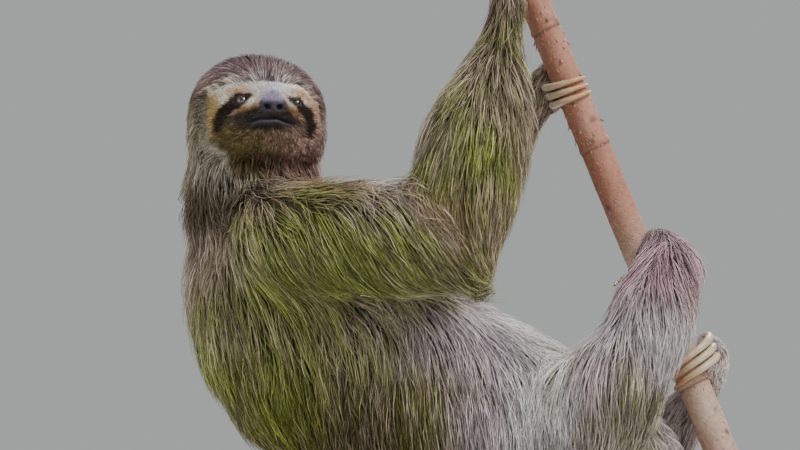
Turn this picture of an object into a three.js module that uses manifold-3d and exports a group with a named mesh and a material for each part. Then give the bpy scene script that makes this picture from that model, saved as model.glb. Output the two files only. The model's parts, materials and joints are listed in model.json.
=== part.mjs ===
// Brown-throated three-toed sloth, adult, life size, as a still display model.
//
// It hangs half reclined from a short cut length of branch: both hands and both
// feet hook the branch, the belly faces up, the back is carried by a rod, and
// the head is turned to look out sideways.  Every solid of flesh reaches to the
// tips of the coat.  Millimetres, +Z up, origin under the middle of the base.
// The animal's right side and its face look along -Y; its head is towards -X.

import * as THREE from 'three';
import { mergeVertices } from 'three/addons/utils/BufferGeometryUtils.js';
import Module from 'manifold-3d';

const wasm = await Module();
wasm.setup();

// ---------------------------------------------------------------- driving sizes

const GAP = 0.3; // clear space between neighbouring solids

// Display stand
const BASE_LENGTH = 410;
const BASE_WIDTH = 250;
const BASE_CORNER = 40;
const BASE_HEIGHT = 18;
const BASE_CHAMFER = 2;
const ROD_RADIUS = 5;
const ROD_SOCKET = 10; // depth of a rod's seat in the base
const BODY_ROD = { x: -36, y: 8, top: 130 };
const PERCH_ROD = { x: 177, y: 0, top: 132 };

// Branch: a straight cut length with a swelling at each leaf scar ring
const PERCH_TOP = new THREE.Vector3(3, 0, 535);
const PERCH_END = new THREE.Vector3(179, 0, 112);
const PERCH_RADIUS = 10.8; // at the top, and a little more at the lower end
const PERCH_WIDENS = 1.2;
const PERCH_SWELL = 0.8;
const PERCH_RING_SPACING = 92;

// Head: a rounded block of fur with a flat face, half sizes from its centre
const HEAD = {
  centre: new THREE.Vector3(-169, -10, 385),
  yaw: 13, // degrees, turned towards +X
  pitch: 15, // degrees, chin lifted
  roll: 3,
  halfSide: 51,
  halfUp: 47,
  halfFront: 43,
  halfBack: 48,
  squareness: 2.15, // of the crown
  ruffSquareness: 3.6, // of the ruff of long hair under the cheeks
};
const MUZZLE = { side: 0, up: -8, front: 46, lift: 9, spread: 17 };
const BROW = { side: 0, up: 19, front: 40, lift: 2.5, spread: 14 };
const EYE = { side: 21.1, up: 0.5, front: 40.4, radius: 5.6, inset: 3.6 };
const SOCKET = { lift: -2.2, spread: 8 };
const NOSE = { up: -4.5, front: 51, halfSide: 11, halfUp: 8, halfFront: 5 };

// Claws: three on each hand and foot, hooked round the branch
const CLAW = {
  count: 3,
  base: 3.1, // radius at the fingertip
  tip: 0.7, // radius at the point
  spacing: 7.2,
  gather: 0.25, // how far the points close up on each other
  clear: 0.5, // between claw and bark
  sides: 6,
  steps: 7,
};

// Where each hand and foot grips: distance down the branch, first angle and
// sweep round it in degrees (0 faces -Y, 90 faces +X), drift along it, change of
// sweep from claw to claw, room at the fingertip and room at the point.
const GRIPS = {
  hand_right: { along: 38, start: -48, sweep: 225, drift: -4, fan: 0, lift: 1.2, flare: 0 },
  hand_left: { along: 138, start: -138, sweep: 215, drift: 4, fan: 0, lift: 1.2, flare: 0 },
  foot_right: { along: 276, start: 20, sweep: 240, drift: 12, fan: -18, lift: 1.2, flare: 12 },
  foot_left: { along: 349, start: 105, sweep: -187, drift: 14, fan: 0, lift: 8, flare: 0 },
};

// Colours of the plain solids
const COAT = { color: 0x6f6a58, roughness: 0.9, metalness: 0 };
const FACE = { color: 0x8a7a62, roughness: 0.9, metalness: 0 };
const NOSE_SKIN = { color: 0x2e2622, roughness: 0.5, metalness: 0 };
const HORN = { color: 0xd8cdb4, roughness: 0.45, metalness: 0 };
const EYE_GLOSS = { color: 0x1a100a, roughness: 0.1, metalness: 0 };
const BARK = { color: 0x9c5a3e, roughness: 0.8, metalness: 0 };
const PLINTH = { color: 0x3a2e26, roughness: 0.5, metalness: 0 };
const STEEL = { color: 0x9a9a9a, roughness: 0.35, metalness: 1 };

// Body segments.  A station is [x, y, z, half width along Y, half width across].
const SEGMENTS = {
  hand_right: [
    [11, -28, 470, 16, 16],
    [6, -25, 484, 15, 15],
    [8, -20, 498, 12, 12],
  ],
  hand_left: [
    [38, 32, 398, 17, 17],
    [38, 26, 410, 15, 15],
    [44, 20, 420, 12, 12],
  ],
  foot_right: [
    [131, -37, 273, 24, 25],
    [124, -29, 288, 20, 21],
    [116, -21, 301, 13, 14],
  ],
  foot_left: [
    [148, 24, 186, 17, 17],
    [157, 13, 202, 15, 15],
    [159, 5, 217, 14, 14],
  ],
  forearm_right: [
    [-26, -78, 300, 38, 36],
    [-19, -76, 330, 41, 41],
    [-14, -72, 362, 39, 45],
    [-5, -63, 390, 34, 40],
    [1, -52, 416, 26, 30],
    [7, -40, 442, 19, 19],
    [12, -30, 470, 16, 16],
  ],
  forearm_left: [
    [-40, 92, 300, 34, 34],
    [-22, 82, 330, 36, 36],
    [0, 62, 362, 30, 30],
    [20, 44, 384, 23, 23],
    [36, 34, 400, 18, 18],
  ],
  elbow_right: [
    [-25, -82, 290, 30, 30],
    [-14, -84, 272, 19, 17],
    [-8, -84, 262, 8, 7],
  ],
  shank_right: [
    [106, -66, 222, 34, 34],
    [114, -60, 246, 33, 34],
    [122, -46, 268, 29, 30],
    [127, -34, 284, 25, 26],
  ],
  shank_left: [
    [114, 56, 146, 32, 32],
    [132, 44, 160, 25, 25],
    [146, 28, 180, 18, 18],
  ],
  upper_arm_right: [
    [-160, -44, 298, 46, 44],
    [-117, -64, 298, 44, 45],
    [-70, -80, 299, 42, 46],
    [-30, -82, 302, 40, 44],
  ],
  upper_arm_left: [
    [-160, 44, 298, 44, 42],
    [-106, 72, 297, 40, 41],
    [-50, 90, 298, 36, 37],
  ],
  thigh_right: [
    [60, -44, 164, 38, 54],
    [84, -60, 194, 38, 46],
    [102, -67, 218, 34, 37],
  ],
  thigh_left: [
    [58, 44, 150, 38, 48],
    [88, 56, 144, 36, 40],
    [112, 58, 146, 32, 34],
  ],
  tail: [
    [112, 0, 128, 20, 20],
    [132, 0, 112, 15, 15],
    [146, 0, 100, 11, 11],
  ],
  neck: [
    [-170, -8, 354, 43, 52],
    [-173, -2, 324, 50, 54],
    [-174, 0, 306, 54, 54],
  ],
};

const TRUNK = [
  [-174, 0, 296, 56, 54],
  [-163, 0, 264, 66, 67],
  [-127, 0, 218, 74, 85],
  [-48, 0, 183, 78, 84],
  [27, 0, 159, 74, 70],
  [81, 0, 143, 62, 54],
  [106, 0, 136, 46, 42],
];
const TRUNK_NAMES = ['chest', 'belly', 'rump'];
const TRUNK_CUTS = [
  { centre: [-98, 0, 206], normal: [0.8, 0, -0.6] },
  { centre: [18, 0, 161], normal: [0.96, 0, -0.28] },
];
const TRUNK_CUT_RADIUS = 140;

// ------------------------------------------------------------- shaping functions

const DOME_TURNS = [50]; // degrees round a dome at which it has a ring

const Y_AXIS = new THREE.Vector3(0, 1, 0);
const radians = THREE.MathUtils.degToRad;

// A geometry of shared vertices from a list of points and a list of triangles.
function closedGeometry(points, triangles) {
  const geometry = new THREE.BufferGeometry();
  geometry.setAttribute('position', new THREE.Float32BufferAttribute(points.flatMap((p) => p.toArray()), 3));
  geometry.setIndex(triangles);
  return geometry;
}

// A solid that the boolean library can cut, from any closed geometry.
function solid(geometry) {
  const bare = geometry.clone();
  bare.deleteAttribute('normal');
  bare.deleteAttribute('uv');
  const merged = mergeVertices(bare, 1e-4);
  return new wasm.Manifold(new wasm.Mesh({
    numProp: 3,
    vertProperties: new Float32Array(merged.attributes.position.array),
    triVerts: new Uint32Array(merged.index.array),
  }));
}

// Rings of points, each with the same count, skinned and closed at two poles.
function skinRings(rings, firstPole, lastPole) {
  const sides = rings[0].length;
  const points = [firstPole, ...rings.flat(), lastPole];
  const triangles = [];
  const at = (ring, side) => 1 + ring * sides + (side % sides);
  const last = points.length - 1;
  for (let side = 0; side < sides; side += 1) {
    triangles.push(0, at(0, side + 1), at(0, side));
    triangles.push(last, at(rings.length - 1, side), at(rings.length - 1, side + 1));
    for (let ring = 0; ring + 1 < rings.length; ring += 1) {
      triangles.push(at(ring, side), at(ring, side + 1), at(ring + 1, side));
      triangles.push(at(ring, side + 1), at(ring + 1, side + 1), at(ring + 1, side));
    }
  }
  return closedGeometry(points, triangles);
}

// An oval ring about a centre, square to a tangent.
function ovalRing(centre, tangent, alongY, across, sides) {
  const level = Y_AXIS.clone().addScaledVector(tangent, -Y_AXIS.dot(tangent)).normalize();
  const upright = tangent.clone().cross(level);
  return Array.from({ length: sides }, (_, side) => {
    const angle = (2 * Math.PI * side) / sides;
    return centre.clone()
      .addScaledVector(level, alongY * Math.cos(angle))
      .addScaledVector(upright, across * Math.sin(angle));
  });
}

// A tube of smooth oval sections through its stations, with a dome on each end.
function limb(stations, { grow = 0, sides = 12, step = 24, dome = 0.75 } = {}) {
  const centres = new THREE.CatmullRomCurve3(stations.map(([x, y, z]) => new THREE.Vector3(x, y, z)));
  const widths = new THREE.CatmullRomCurve3(
    stations.map(([, , , alongY, across]) => new THREE.Vector3(alongY + grow, across + grow, 0)),
    false,
    'catmullrom',
  );
  const count = Math.max(2, Math.round(centres.getLength() / step));
  const rings = [];
  const capRing = (t, turn, sign) => {
    const centre = centres.getPoint(t);
    const tangent = centres.getTangent(t);
    const width = widths.getPoint(t);
    const reach = sign * dome * 0.5 * (width.x + width.y);
    const shrink = Math.cos(turn);
    centre.addScaledVector(tangent, reach * Math.sin(turn));
    return shrink < 1e-6 ? centre : ovalRing(centre, tangent, width.x * shrink, width.y * shrink, sides);
  };
  const capTurns = DOME_TURNS.map(radians);
  for (const turn of [...capTurns].reverse()) rings.push(capRing(0, turn, -1));
  for (let ring = 0; ring <= count; ring += 1) rings.push(capRing(ring / count, 0, 1));
  for (const turn of capTurns) rings.push(capRing(1, turn, 1));
  return solid(skinRings(rings, capRing(0, Math.PI / 2, -1), capRing(1, Math.PI / 2, 1)));
}

// ------------------------------------------------------------------------ head

const headTurn = new THREE.Matrix4()
  .makeRotationZ(radians(HEAD.yaw))
  .multiply(new THREE.Matrix4().makeRotationX(radians(-HEAD.pitch)))
  .multiply(new THREE.Matrix4().makeRotationY(radians(HEAD.roll)));

// A place on the head, given as side, front and up from its centre.
function headPoint(side, front, up) {
  return new THREE.Vector3(side, -front, up).applyMatrix4(headTurn).add(HEAD.centre);
}

// A soft rise or hollow centred on a feature of the face.
function swell(point, feature, side, lift, spread) {
  const away = Math.hypot(point.x - side, point.z - feature.up, point.y - feature.front);
  return lift * Math.exp(-((away / spread) ** 2));
}

// Distance from the head's centre to the tips of its coat, in one direction.
function headReach(side, front, up) {
  const halfFront = front > 0 ? HEAD.halfFront : HEAD.halfBack;
  const ruff = THREE.MathUtils.smoothstep(-up, -0.1, 0.7);
  const power = THREE.MathUtils.lerp(HEAD.squareness, HEAD.ruffSquareness, ruff);
  const sum = (Math.abs(side) / HEAD.halfSide) ** power
    + (Math.abs(front) / halfFront) ** power
    + (Math.abs(up) / HEAD.halfUp) ** power;
  const reach = sum ** (-1 / power);
  const point = new THREE.Vector3(side, front, up).multiplyScalar(reach);
  return reach
    + swell(point, MUZZLE, 0, MUZZLE.lift, MUZZLE.spread)
    + swell(point, BROW, 0, BROW.lift, BROW.spread)
    + swell(point, EYE, EYE.side, SOCKET.lift, SOCKET.spread)
    + swell(point, EYE, -EYE.side, SOCKET.lift, SOCKET.spread);
}

// The head as rings about its facing direction, closer together on the face.
function headSolid(grow = 0) {
  const rows = 16;
  const sides = 24;
  const ringAt = (row) => {
    const polar = Math.PI * (row / rows) ** 1.2;
    return Array.from({ length: sides }, (_, column) => {
      const turn = (2 * Math.PI * column) / sides;
      const side = Math.sin(polar) * Math.cos(turn);
      const up = Math.sin(polar) * Math.sin(turn);
      const front = Math.cos(polar);
      const reach = headReach(side, front, up) + grow;
      return headPoint(side * reach, front * reach, up * reach);
    });
  };
  const rings = Array.from({ length: rows - 1 }, (_, row) => ringAt(rows - 1 - row));
  const frontReach = headReach(0, 1, 0) + grow;
  const backReach = headReach(0, -1, 0) + grow;
  return solid(skinRings(rings, headPoint(0, -backReach, 0), headPoint(0, frontReach, 0)));
}

function eyeSolid(sideSign, grow = 0) {
  const geometry = new THREE.SphereGeometry(EYE.radius + grow, 10, 7);
  const depth = 1 - EYE.inset / Math.hypot(EYE.side, EYE.front, EYE.up);
  const centre = headPoint(sideSign * EYE.side * depth, EYE.front * depth, EYE.up * depth);
  geometry.translate(centre.x, centre.y, centre.z);
  return solid(geometry);
}

function noseSolid(grow = 0) {
  const geometry = new THREE.SphereGeometry(1, 12, 8);
  geometry.scale(NOSE.halfSide + grow, NOSE.halfFront + grow, NOSE.halfUp + grow);
  geometry.applyMatrix4(headTurn);
  const centre = headPoint(0, NOSE.front, NOSE.up);
  geometry.translate(centre.x, centre.y, centre.z);
  return solid(geometry);
}

// ------------------------------------------------------------ branch and claws

const perchLength = PERCH_TOP.distanceTo(PERCH_END);
const perchAxis = PERCH_END.clone().sub(PERCH_TOP).normalize();
const perchFront = new THREE.Vector3(0, -1, 0);
const perchRight = perchFront.clone().cross(perchAxis);

function perchSolid(grow = 0) {
  const steps = 18;
  const rings = Array.from({ length: steps + 1 }, (_, step) => {
    const along = (perchLength * step) / steps;
    const swelling = Math.cos((2 * Math.PI * along) / PERCH_RING_SPACING) ** 8 * PERCH_SWELL;
    const centre = PERCH_TOP.clone().addScaledVector(perchAxis, along);
    const radius = PERCH_RADIUS + (PERCH_WIDENS * step) / steps + swelling + grow;
    return ovalRing(centre, perchAxis, radius, radius, 12);
  });
  return solid(skinRings(rings, PERCH_TOP, PERCH_END));
}

// A point beside the branch: distance down it, angle round it, radius from it.
function besidePerch(along, degrees, radius) {
  const angle = radians(degrees);
  return PERCH_TOP.clone()
    .addScaledVector(perchAxis, along)
    .addScaledVector(perchFront, radius * Math.cos(angle))
    .addScaledVector(perchRight, radius * Math.sin(angle));
}

// One hooked claw, from inside the fingertips round the branch to its point.
function clawSolid(grip, index, grow = 0) {
  const offset = (index - (CLAW.count - 1) / 2) * CLAW.spacing;
  const stations = Array.from({ length: CLAW.steps }, (_, step) => {
    const part = step / (CLAW.steps - 1);
    const thickness = THREE.MathUtils.lerp(CLAW.base, CLAW.tip, part ** 1.6);
    const along = grip.along + offset * (1 - CLAW.gather * part) + grip.drift * part;
    const branch = PERCH_RADIUS + PERCH_WIDENS * (along / perchLength) + PERCH_SWELL;
    const room = grip.lift * (1 - part) + grip.flare * part ** 3;
    const sweep = grip.sweep + (grip.fan * offset) / CLAW.spacing;
    const place = besidePerch(along, grip.start + sweep * part, branch + CLAW.clear + thickness + room);
    return [place.x, place.y, place.z, thickness, thickness];
  });
  return clawTube(stations, grow);
}

// A tapered tube whose rings face along its own bent path.
function clawTube(stations, grow) {
  const path = stations.map(([x, y, z]) => new THREE.Vector3(x, y, z));
  const rings = path.map((centre, index) => {
    const ahead = path[Math.min(index + 1, path.length - 1)];
    const behind = path[Math.max(index - 1, 0)];
    const tangent = ahead.clone().sub(behind).normalize();
    const outward = tangent.clone().cross(perchAxis).normalize();
    const sideways = tangent.clone().cross(outward);
    const radius = stations[index][3] + grow;
    return Array.from({ length: CLAW.sides }, (_, side) => {
      const angle = (2 * Math.PI * side) / CLAW.sides;
      return centre.clone()
        .addScaledVector(outward, radius * Math.cos(angle))
        .addScaledVector(sideways, radius * Math.sin(angle));
    });
  });
  return solid(skinRings(rings, path[0], path[path.length - 1]));
}

// ----------------------------------------------------------------------- stand

function rodSolid({ x, y, top }, grow = 0) {
  const bottom = BASE_HEIGHT - ROD_SOCKET;
  const height = top - bottom + 2 * grow;
  const geometry = new THREE.CylinderGeometry(ROD_RADIUS + grow, ROD_RADIUS + grow, height, 12);
  geometry.rotateX(Math.PI / 2);
  geometry.translate(x, y, (bottom + top) / 2);
  return solid(geometry);
}

function baseSolid() {
  const halfLength = BASE_LENGTH / 2 - BASE_CHAMFER;
  const halfWidth = BASE_WIDTH / 2 - BASE_CHAMFER;
  const corner = BASE_CORNER - BASE_CHAMFER;
  const outline = new THREE.Shape();
  outline.absarc(halfLength - corner, halfWidth - corner, corner, 0, Math.PI / 2);
  outline.absarc(corner - halfLength, halfWidth - corner, corner, Math.PI / 2, Math.PI);
  outline.absarc(corner - halfLength, corner - halfWidth, corner, Math.PI, Math.PI * 1.5);
  outline.absarc(halfLength - corner, corner - halfWidth, corner, Math.PI * 1.5, Math.PI * 2);
  const geometry = new THREE.ExtrudeGeometry(outline, {
    depth: BASE_HEIGHT - 2 * BASE_CHAMFER,
    bevelThickness: BASE_CHAMFER,
    bevelSize: BASE_CHAMFER,
    bevelSegments: 1,
    curveSegments: 2,
  });
  geometry.translate(0, 0, BASE_CHAMFER);
  return solid(geometry);
}

// --------------------------------------------------------------- whole figure

// Pieces in order: each one is cut back from all the pieces before it.
const pieces = [
  { name: 'stand_rod_body', look: STEEL, build: (grow) => rodSolid(BODY_ROD, grow) },
  { name: 'stand_rod_perch', look: STEEL, build: (grow) => rodSolid(PERCH_ROD, grow) },
  { name: 'stand_base', look: PLINTH, build: () => baseSolid() },
  { name: 'perch', look: BARK, build: (grow) => perchSolid(grow) },
  { name: 'eye_right', look: EYE_GLOSS, build: (grow) => eyeSolid(-1, grow) },
  { name: 'eye_left', look: EYE_GLOSS, build: (grow) => eyeSolid(1, grow) },
  { name: 'nose', look: NOSE_SKIN, build: (grow) => noseSolid(grow) },
];
for (const [hold, grip] of Object.entries(GRIPS)) {
  for (let index = 0; index < CLAW.count; index += 1) {
    pieces.push({
      name: `claw_${hold}_${index + 1}`,
      look: HORN,
      build: (grow) => clawSolid(grip, index, grow),
    });
  }
}
pieces.push({ name: 'head', look: FACE, build: (grow) => headSolid(grow) });
for (const [name, stations] of Object.entries(SEGMENTS)) {
  pieces.push({ name, look: COAT, build: (grow) => limb(stations, { grow }) });
}

function trunkDisc({ centre, normal }) {
  const geometry = new THREE.CylinderGeometry(TRUNK_CUT_RADIUS, TRUNK_CUT_RADIUS, GAP, 24);
  geometry.applyQuaternion(new THREE.Quaternion().setFromUnitVectors(Y_AXIS, new THREE.Vector3(...normal).normalize()));
  geometry.translate(...centre);
  return solid(geometry);
}

// The largest connected bodies that a cut has left, without its loose slivers.
function mainBodies(body, count) {
  return body.decompose().sort((a, b) => b.volume() - a.volume()).slice(0, count);
}

function meshOf(name, look, body) {
  const { vertProperties, triVerts } = body.getMesh();
  const geometry = new THREE.BufferGeometry();
  geometry.setAttribute('position', new THREE.BufferAttribute(vertProperties, 3));
  geometry.setIndex(new THREE.BufferAttribute(triVerts, 1));
  const mesh = new THREE.Mesh(geometry, new THREE.MeshStandardMaterial(look));
  mesh.name = name;
  return mesh;
}

const sloth = new THREE.Group();
const taken = [];
for (const { name, look, build } of pieces) {
  let body = build(0);
  for (const earlier of taken) body = body.subtract(earlier);
  taken.push(build(GAP));
  sloth.add(meshOf(name, look, mainBodies(body, 1)[0]));
}

let trunk = limb(TRUNK, { sides: 18, step: 28 });
for (const earlier of taken) trunk = trunk.subtract(earlier);
for (const cut of TRUNK_CUTS) trunk = trunk.subtract(trunkDisc(cut));
const trunkParts = mainBodies(trunk, TRUNK_NAMES.length)
  .sort((a, b) => a.boundingBox().min[0] - b.boundingBox().min[0]);
trunkParts.forEach((part, index) => sloth.add(meshOf(TRUNK_NAMES[index], COAT, part)));

export default sloth;
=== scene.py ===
# %% [markdown]
# # A three-toed sloth on a cut branch
#
# This lesson finishes a life-size model of a brown-throated three-toed sloth.
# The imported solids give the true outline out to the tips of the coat.  Here one
# skin takes the place of all the solids of flesh, a little inside them, and
# thousands of small locks of hair fill the space between.  Eyes, claws, branch
# and stand get finer meshes of their own.

# %% Load the frame
import json
import math

import bmesh
import bpy
import numpy as np
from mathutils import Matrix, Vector, kdtree
from mathutils.bvhtree import BVHTree


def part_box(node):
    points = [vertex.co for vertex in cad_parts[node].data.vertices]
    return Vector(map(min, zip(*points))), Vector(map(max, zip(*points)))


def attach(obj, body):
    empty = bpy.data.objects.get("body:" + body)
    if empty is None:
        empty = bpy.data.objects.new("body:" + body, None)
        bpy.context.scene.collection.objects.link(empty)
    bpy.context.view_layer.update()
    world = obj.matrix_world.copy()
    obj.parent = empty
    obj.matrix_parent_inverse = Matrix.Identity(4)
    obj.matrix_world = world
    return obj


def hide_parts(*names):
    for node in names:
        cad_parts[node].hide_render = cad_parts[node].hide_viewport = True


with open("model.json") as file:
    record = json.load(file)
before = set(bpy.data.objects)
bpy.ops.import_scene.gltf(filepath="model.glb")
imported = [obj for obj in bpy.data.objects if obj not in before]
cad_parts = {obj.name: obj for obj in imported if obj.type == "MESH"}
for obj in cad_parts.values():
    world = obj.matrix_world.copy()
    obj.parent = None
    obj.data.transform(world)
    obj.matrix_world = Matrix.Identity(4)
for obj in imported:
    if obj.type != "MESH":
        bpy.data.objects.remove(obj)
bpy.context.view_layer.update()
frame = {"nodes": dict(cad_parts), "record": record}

MM = 0.001
slot_of = {part["node"]: part["material_slot"] for part in frame["record"]["subparts"]}
FLESH = [node for node, slot in slot_of.items() if slot in ("coat", "face", "nose")]
rng = np.random.default_rng(7)

# %% [markdown]
# ## Helpers
#
# Most pieces here are made as arrays of points, because a coat has far too many
# hairs to place by hand.  A few helpers blend smoothly between values, give a
# soft random pattern that is the same on every run, and turn arrays into meshes.


# %% Numbers and vectors
def ramp(low, high, value):
    """0 at low, 1 at high, and a smooth slope between."""
    t = np.clip((value - low) / (high - low), 0.0, 1.0)
    return t * t * (3.0 - 2.0 * t)


def bump(value, centre, width):
    """A soft rise of height 1 round a centre."""
    return np.exp(-(((value - centre) / width) ** 2))


def mix(a, b, weight):
    """Blend of two numbers, or of arrays with one number for each point."""
    return a * (1.0 - weight) + b * weight


def tint(a, b, weight):
    """Blend of two colours or vectors, or of arrays of them, point by point."""
    return np.asarray(a) * (1.0 - weight[:, None]) + np.asarray(b) * weight[:, None]


def unit(vectors):
    """Vectors scaled to length one."""
    return vectors / np.maximum(np.linalg.norm(vectors, axis=-1, keepdims=True), 1e-12)


def dots(a, b):
    """Dot product of each pair of vectors, kept as a column."""
    return np.sum(a * b, axis=-1, keepdims=True)


def flat_to(normals, vectors):
    """Vectors turned to lie flat on a surface, at length one."""
    return unit(vectors - normals * dots(vectors, normals))


def hash01(cells, seed):
    """A fixed random number from 0 to 1 for each whole-number cell."""
    x, y, z = (cells[..., axis].astype(np.int64) for axis in range(3))
    mixed = (x * 73856093) ^ (y * 19349663) ^ (z * 83492791) ^ ((seed + 1) * 26544357)
    mixed = (mixed ^ (mixed >> 13)) * 12741261
    return ((mixed ^ (mixed >> 16)) & 0xFFFFFF) / float(0xFFFFFF)


def noise(points, size, seed):
    """Soft random pattern from -1 to 1 whose features are about size across."""
    scaled = points / size
    low = np.floor(scaled)
    part = scaled - low
    part = part * part * (3.0 - 2.0 * part)
    total = np.zeros(points.shape[:-1])
    for corner in np.ndindex(2, 2, 2):
        offset = np.array(corner)
        weight = np.prod(np.where(offset == 1, part, 1.0 - part), axis=-1)
        total += weight * hash01(low + offset, seed)
    return total * 2.0 - 1.0


# %% Meshes and arrays
def linked(name, data):
    """A new object at the origin that holds some data."""
    piece = bpy.data.objects.new(name, data)
    bpy.context.scene.collection.objects.link(piece)
    return piece


def band(low, high, sides):
    """Quads between two closed loops of points, from the numbers of their first points."""
    here = np.arange(sides)
    after = (here + 1) % sides
    return np.stack([low + here, low + after, high + after, high + here], axis=1)


def bands(loops, sides):
    """Quads between closed loops of points that are stored one after another."""
    return np.vstack([band(row * sides, (row + 1) * sides, sides) for row in range(loops - 1)])


def cap(low, pole, sides, at_end):
    """Triangles between a closed loop of points and a pole before it or at its end."""
    here, after = low + np.arange(sides), low + (np.arange(sides) + 1) % sides
    pair = (here, after) if at_end else (after, here)
    return np.stack([*pair, np.full(sides, pole)], axis=1)


def mesh_object(name, points, *face_groups):
    """An object at the origin from points and arrays of faces, one array for each number of sides."""
    mesh = bpy.data.meshes.new(name)
    sizes = np.concatenate([np.full(len(group), group.shape[1]) for group in face_groups])
    mesh.vertices.add(len(points))
    mesh.vertices.foreach_set("co", np.ascontiguousarray(points, dtype=np.float32).ravel())
    mesh.loops.add(int(sizes.sum()))
    corners = np.concatenate([group.ravel() for group in face_groups])
    mesh.loops.foreach_set("vertex_index", corners.astype(np.int32))
    mesh.polygons.add(len(sizes))
    starts = np.concatenate([[0], np.cumsum(sizes)[:-1]])
    mesh.polygons.foreach_set("loop_start", starts.astype(np.int32))
    mesh.update(calc_edges=True)
    mesh.shade_smooth()
    return linked(name, mesh)


def numbers(items, name, width, kind=np.float32):
    """One property of all items of a mesh as an array."""
    found = np.empty(len(items) * width, dtype=kind)
    items.foreach_get(name, found)
    found = found.astype(float) if kind is np.float32 else found
    return found.reshape(-1, width) if width > 1 else found


def points_of(mesh):
    """Vertex positions of a mesh."""
    return numbers(mesh.vertices, "co", 3)


def edges_of(mesh):
    """Pairs of joined vertices of a mesh."""
    return numbers(mesh.edges, "vertices", 2, np.int32)


def triangles_of(mesh):
    """Vertex numbers of a mesh's triangles."""
    mesh.calc_loop_triangles()
    return numbers(mesh.loop_triangles, "vertices", 3, np.int32)


def moved(mesh, points):
    """Writes positions back to a mesh and returns its new vertex normals."""
    mesh.vertices.foreach_set("co", points.astype(np.float32).ravel())
    mesh.update()
    return numbers(mesh.vertex_normals, "vector", 3)


def relax(values, edges, rounds, strength=0.5, weight=None):
    """Smooths values that sit on vertices, each towards the mean of its neighbours."""
    count = len(values)
    flat = values.reshape(count, -1).copy()
    degree = np.bincount(edges.ravel(), minlength=count).astype(float)[:, None]
    pull = strength if weight is None else strength * weight[:, None]
    for _ in range(rounds):
        total = np.empty_like(flat)
        for column in range(flat.shape[1]):
            total[:, column] = np.bincount(edges[:, 0], flat[edges[:, 1], column], count)
            total[:, column] += np.bincount(edges[:, 1], flat[edges[:, 0], column], count)
        flat += pull * (total / np.maximum(degree, 1.0) - flat)
    return flat.reshape(values.shape)


def tree_of(points):
    """A search tree of points."""
    tree = kdtree.KDTree(len(points))
    for number, point in enumerate(points.tolist()):
        tree.insert(point, number)
    tree.balance()
    return tree


def nearest(tree, points):
    """Number of the closest stored point for each point."""
    return np.array([tree.find(point)[1] for point in points.tolist()])


def paint(mesh, colours, name="Marking"):
    """Stores one linear colour for each vertex."""
    layer = mesh.attributes.get(name) or mesh.attributes.new(name, "FLOAT_COLOR", "POINT")
    rgba = np.ones((len(colours), 4), dtype=np.float32)
    rgba[:, :3] = np.clip(colours, 0.0, 1.0)
    layer.data.foreach_set("color", rgba.ravel())


def give(mesh, name, values):
    """Stores one number or vector for each vertex."""
    kind, key = ("FLOAT", "value") if np.ndim(values) == 1 else ("FLOAT_VECTOR", "vector")
    layer = mesh.attributes.get(name) or mesh.attributes.new(name, kind, "POINT")
    layer.data.foreach_set(key, np.ascontiguousarray(values, dtype=np.float32).ravel())


def drop(mesh, *names):
    """Removes stored numbers that were only needed on the way."""
    for name in names:
        if name in mesh.attributes:
            mesh.attributes.remove(mesh.attributes[name])


def finish_piece(piece, slot, material, *nodes):
    """A finished piece rides on the one body, wears a material and stands for CAD nodes."""
    piece.data.materials.clear()
    piece.data.materials.append(material)
    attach(piece, "root")
    if nodes:
        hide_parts(*nodes)
    piece.data.calc_loop_triangles()
    print(piece.name, len(piece.data.loop_triangles), "triangles")


# %% [markdown]
# ## Materials
#
# Every finish is a small shader tree.  Hair, skin, horn and bark read a colour
# named Marking that is painted on their points, so skin and coat carry the same
# pattern.  Noise in the tree breaks that colour up and gives the fine relief.


# %% Small helpers for node trees
def in_use(sockets, name):
    """The socket of a name that the node's settings leave switched on."""
    return next(socket for socket in sockets if socket.name == name and socket.enabled)


def feed(tree, node, inputs):
    """Links sockets or sets values into a node's inputs, whose names take _ for a space."""
    for key, value in inputs.items():
        socket = in_use(node.inputs, key.replace("_", " "))
        if isinstance(value, bpy.types.NodeSocket):
            tree.links.new(value, socket)
        else:
            socket.default_value = value


def add(tree, kind, settings=(), **inputs):
    """A node with its settings and inputs."""
    node = tree.nodes.new(kind)
    for key, value in dict(settings).items():
        setattr(node, key, value)
    feed(tree, node, inputs)
    return node


def new_material(name):
    """A material, its tree and the Object coordinates in it."""
    material = bpy.data.materials.new(name)
    material.use_nodes = True
    tree = material.node_tree
    return material, tree, add(tree, "ShaderNodeTexCoord").outputs["Object"]


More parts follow.
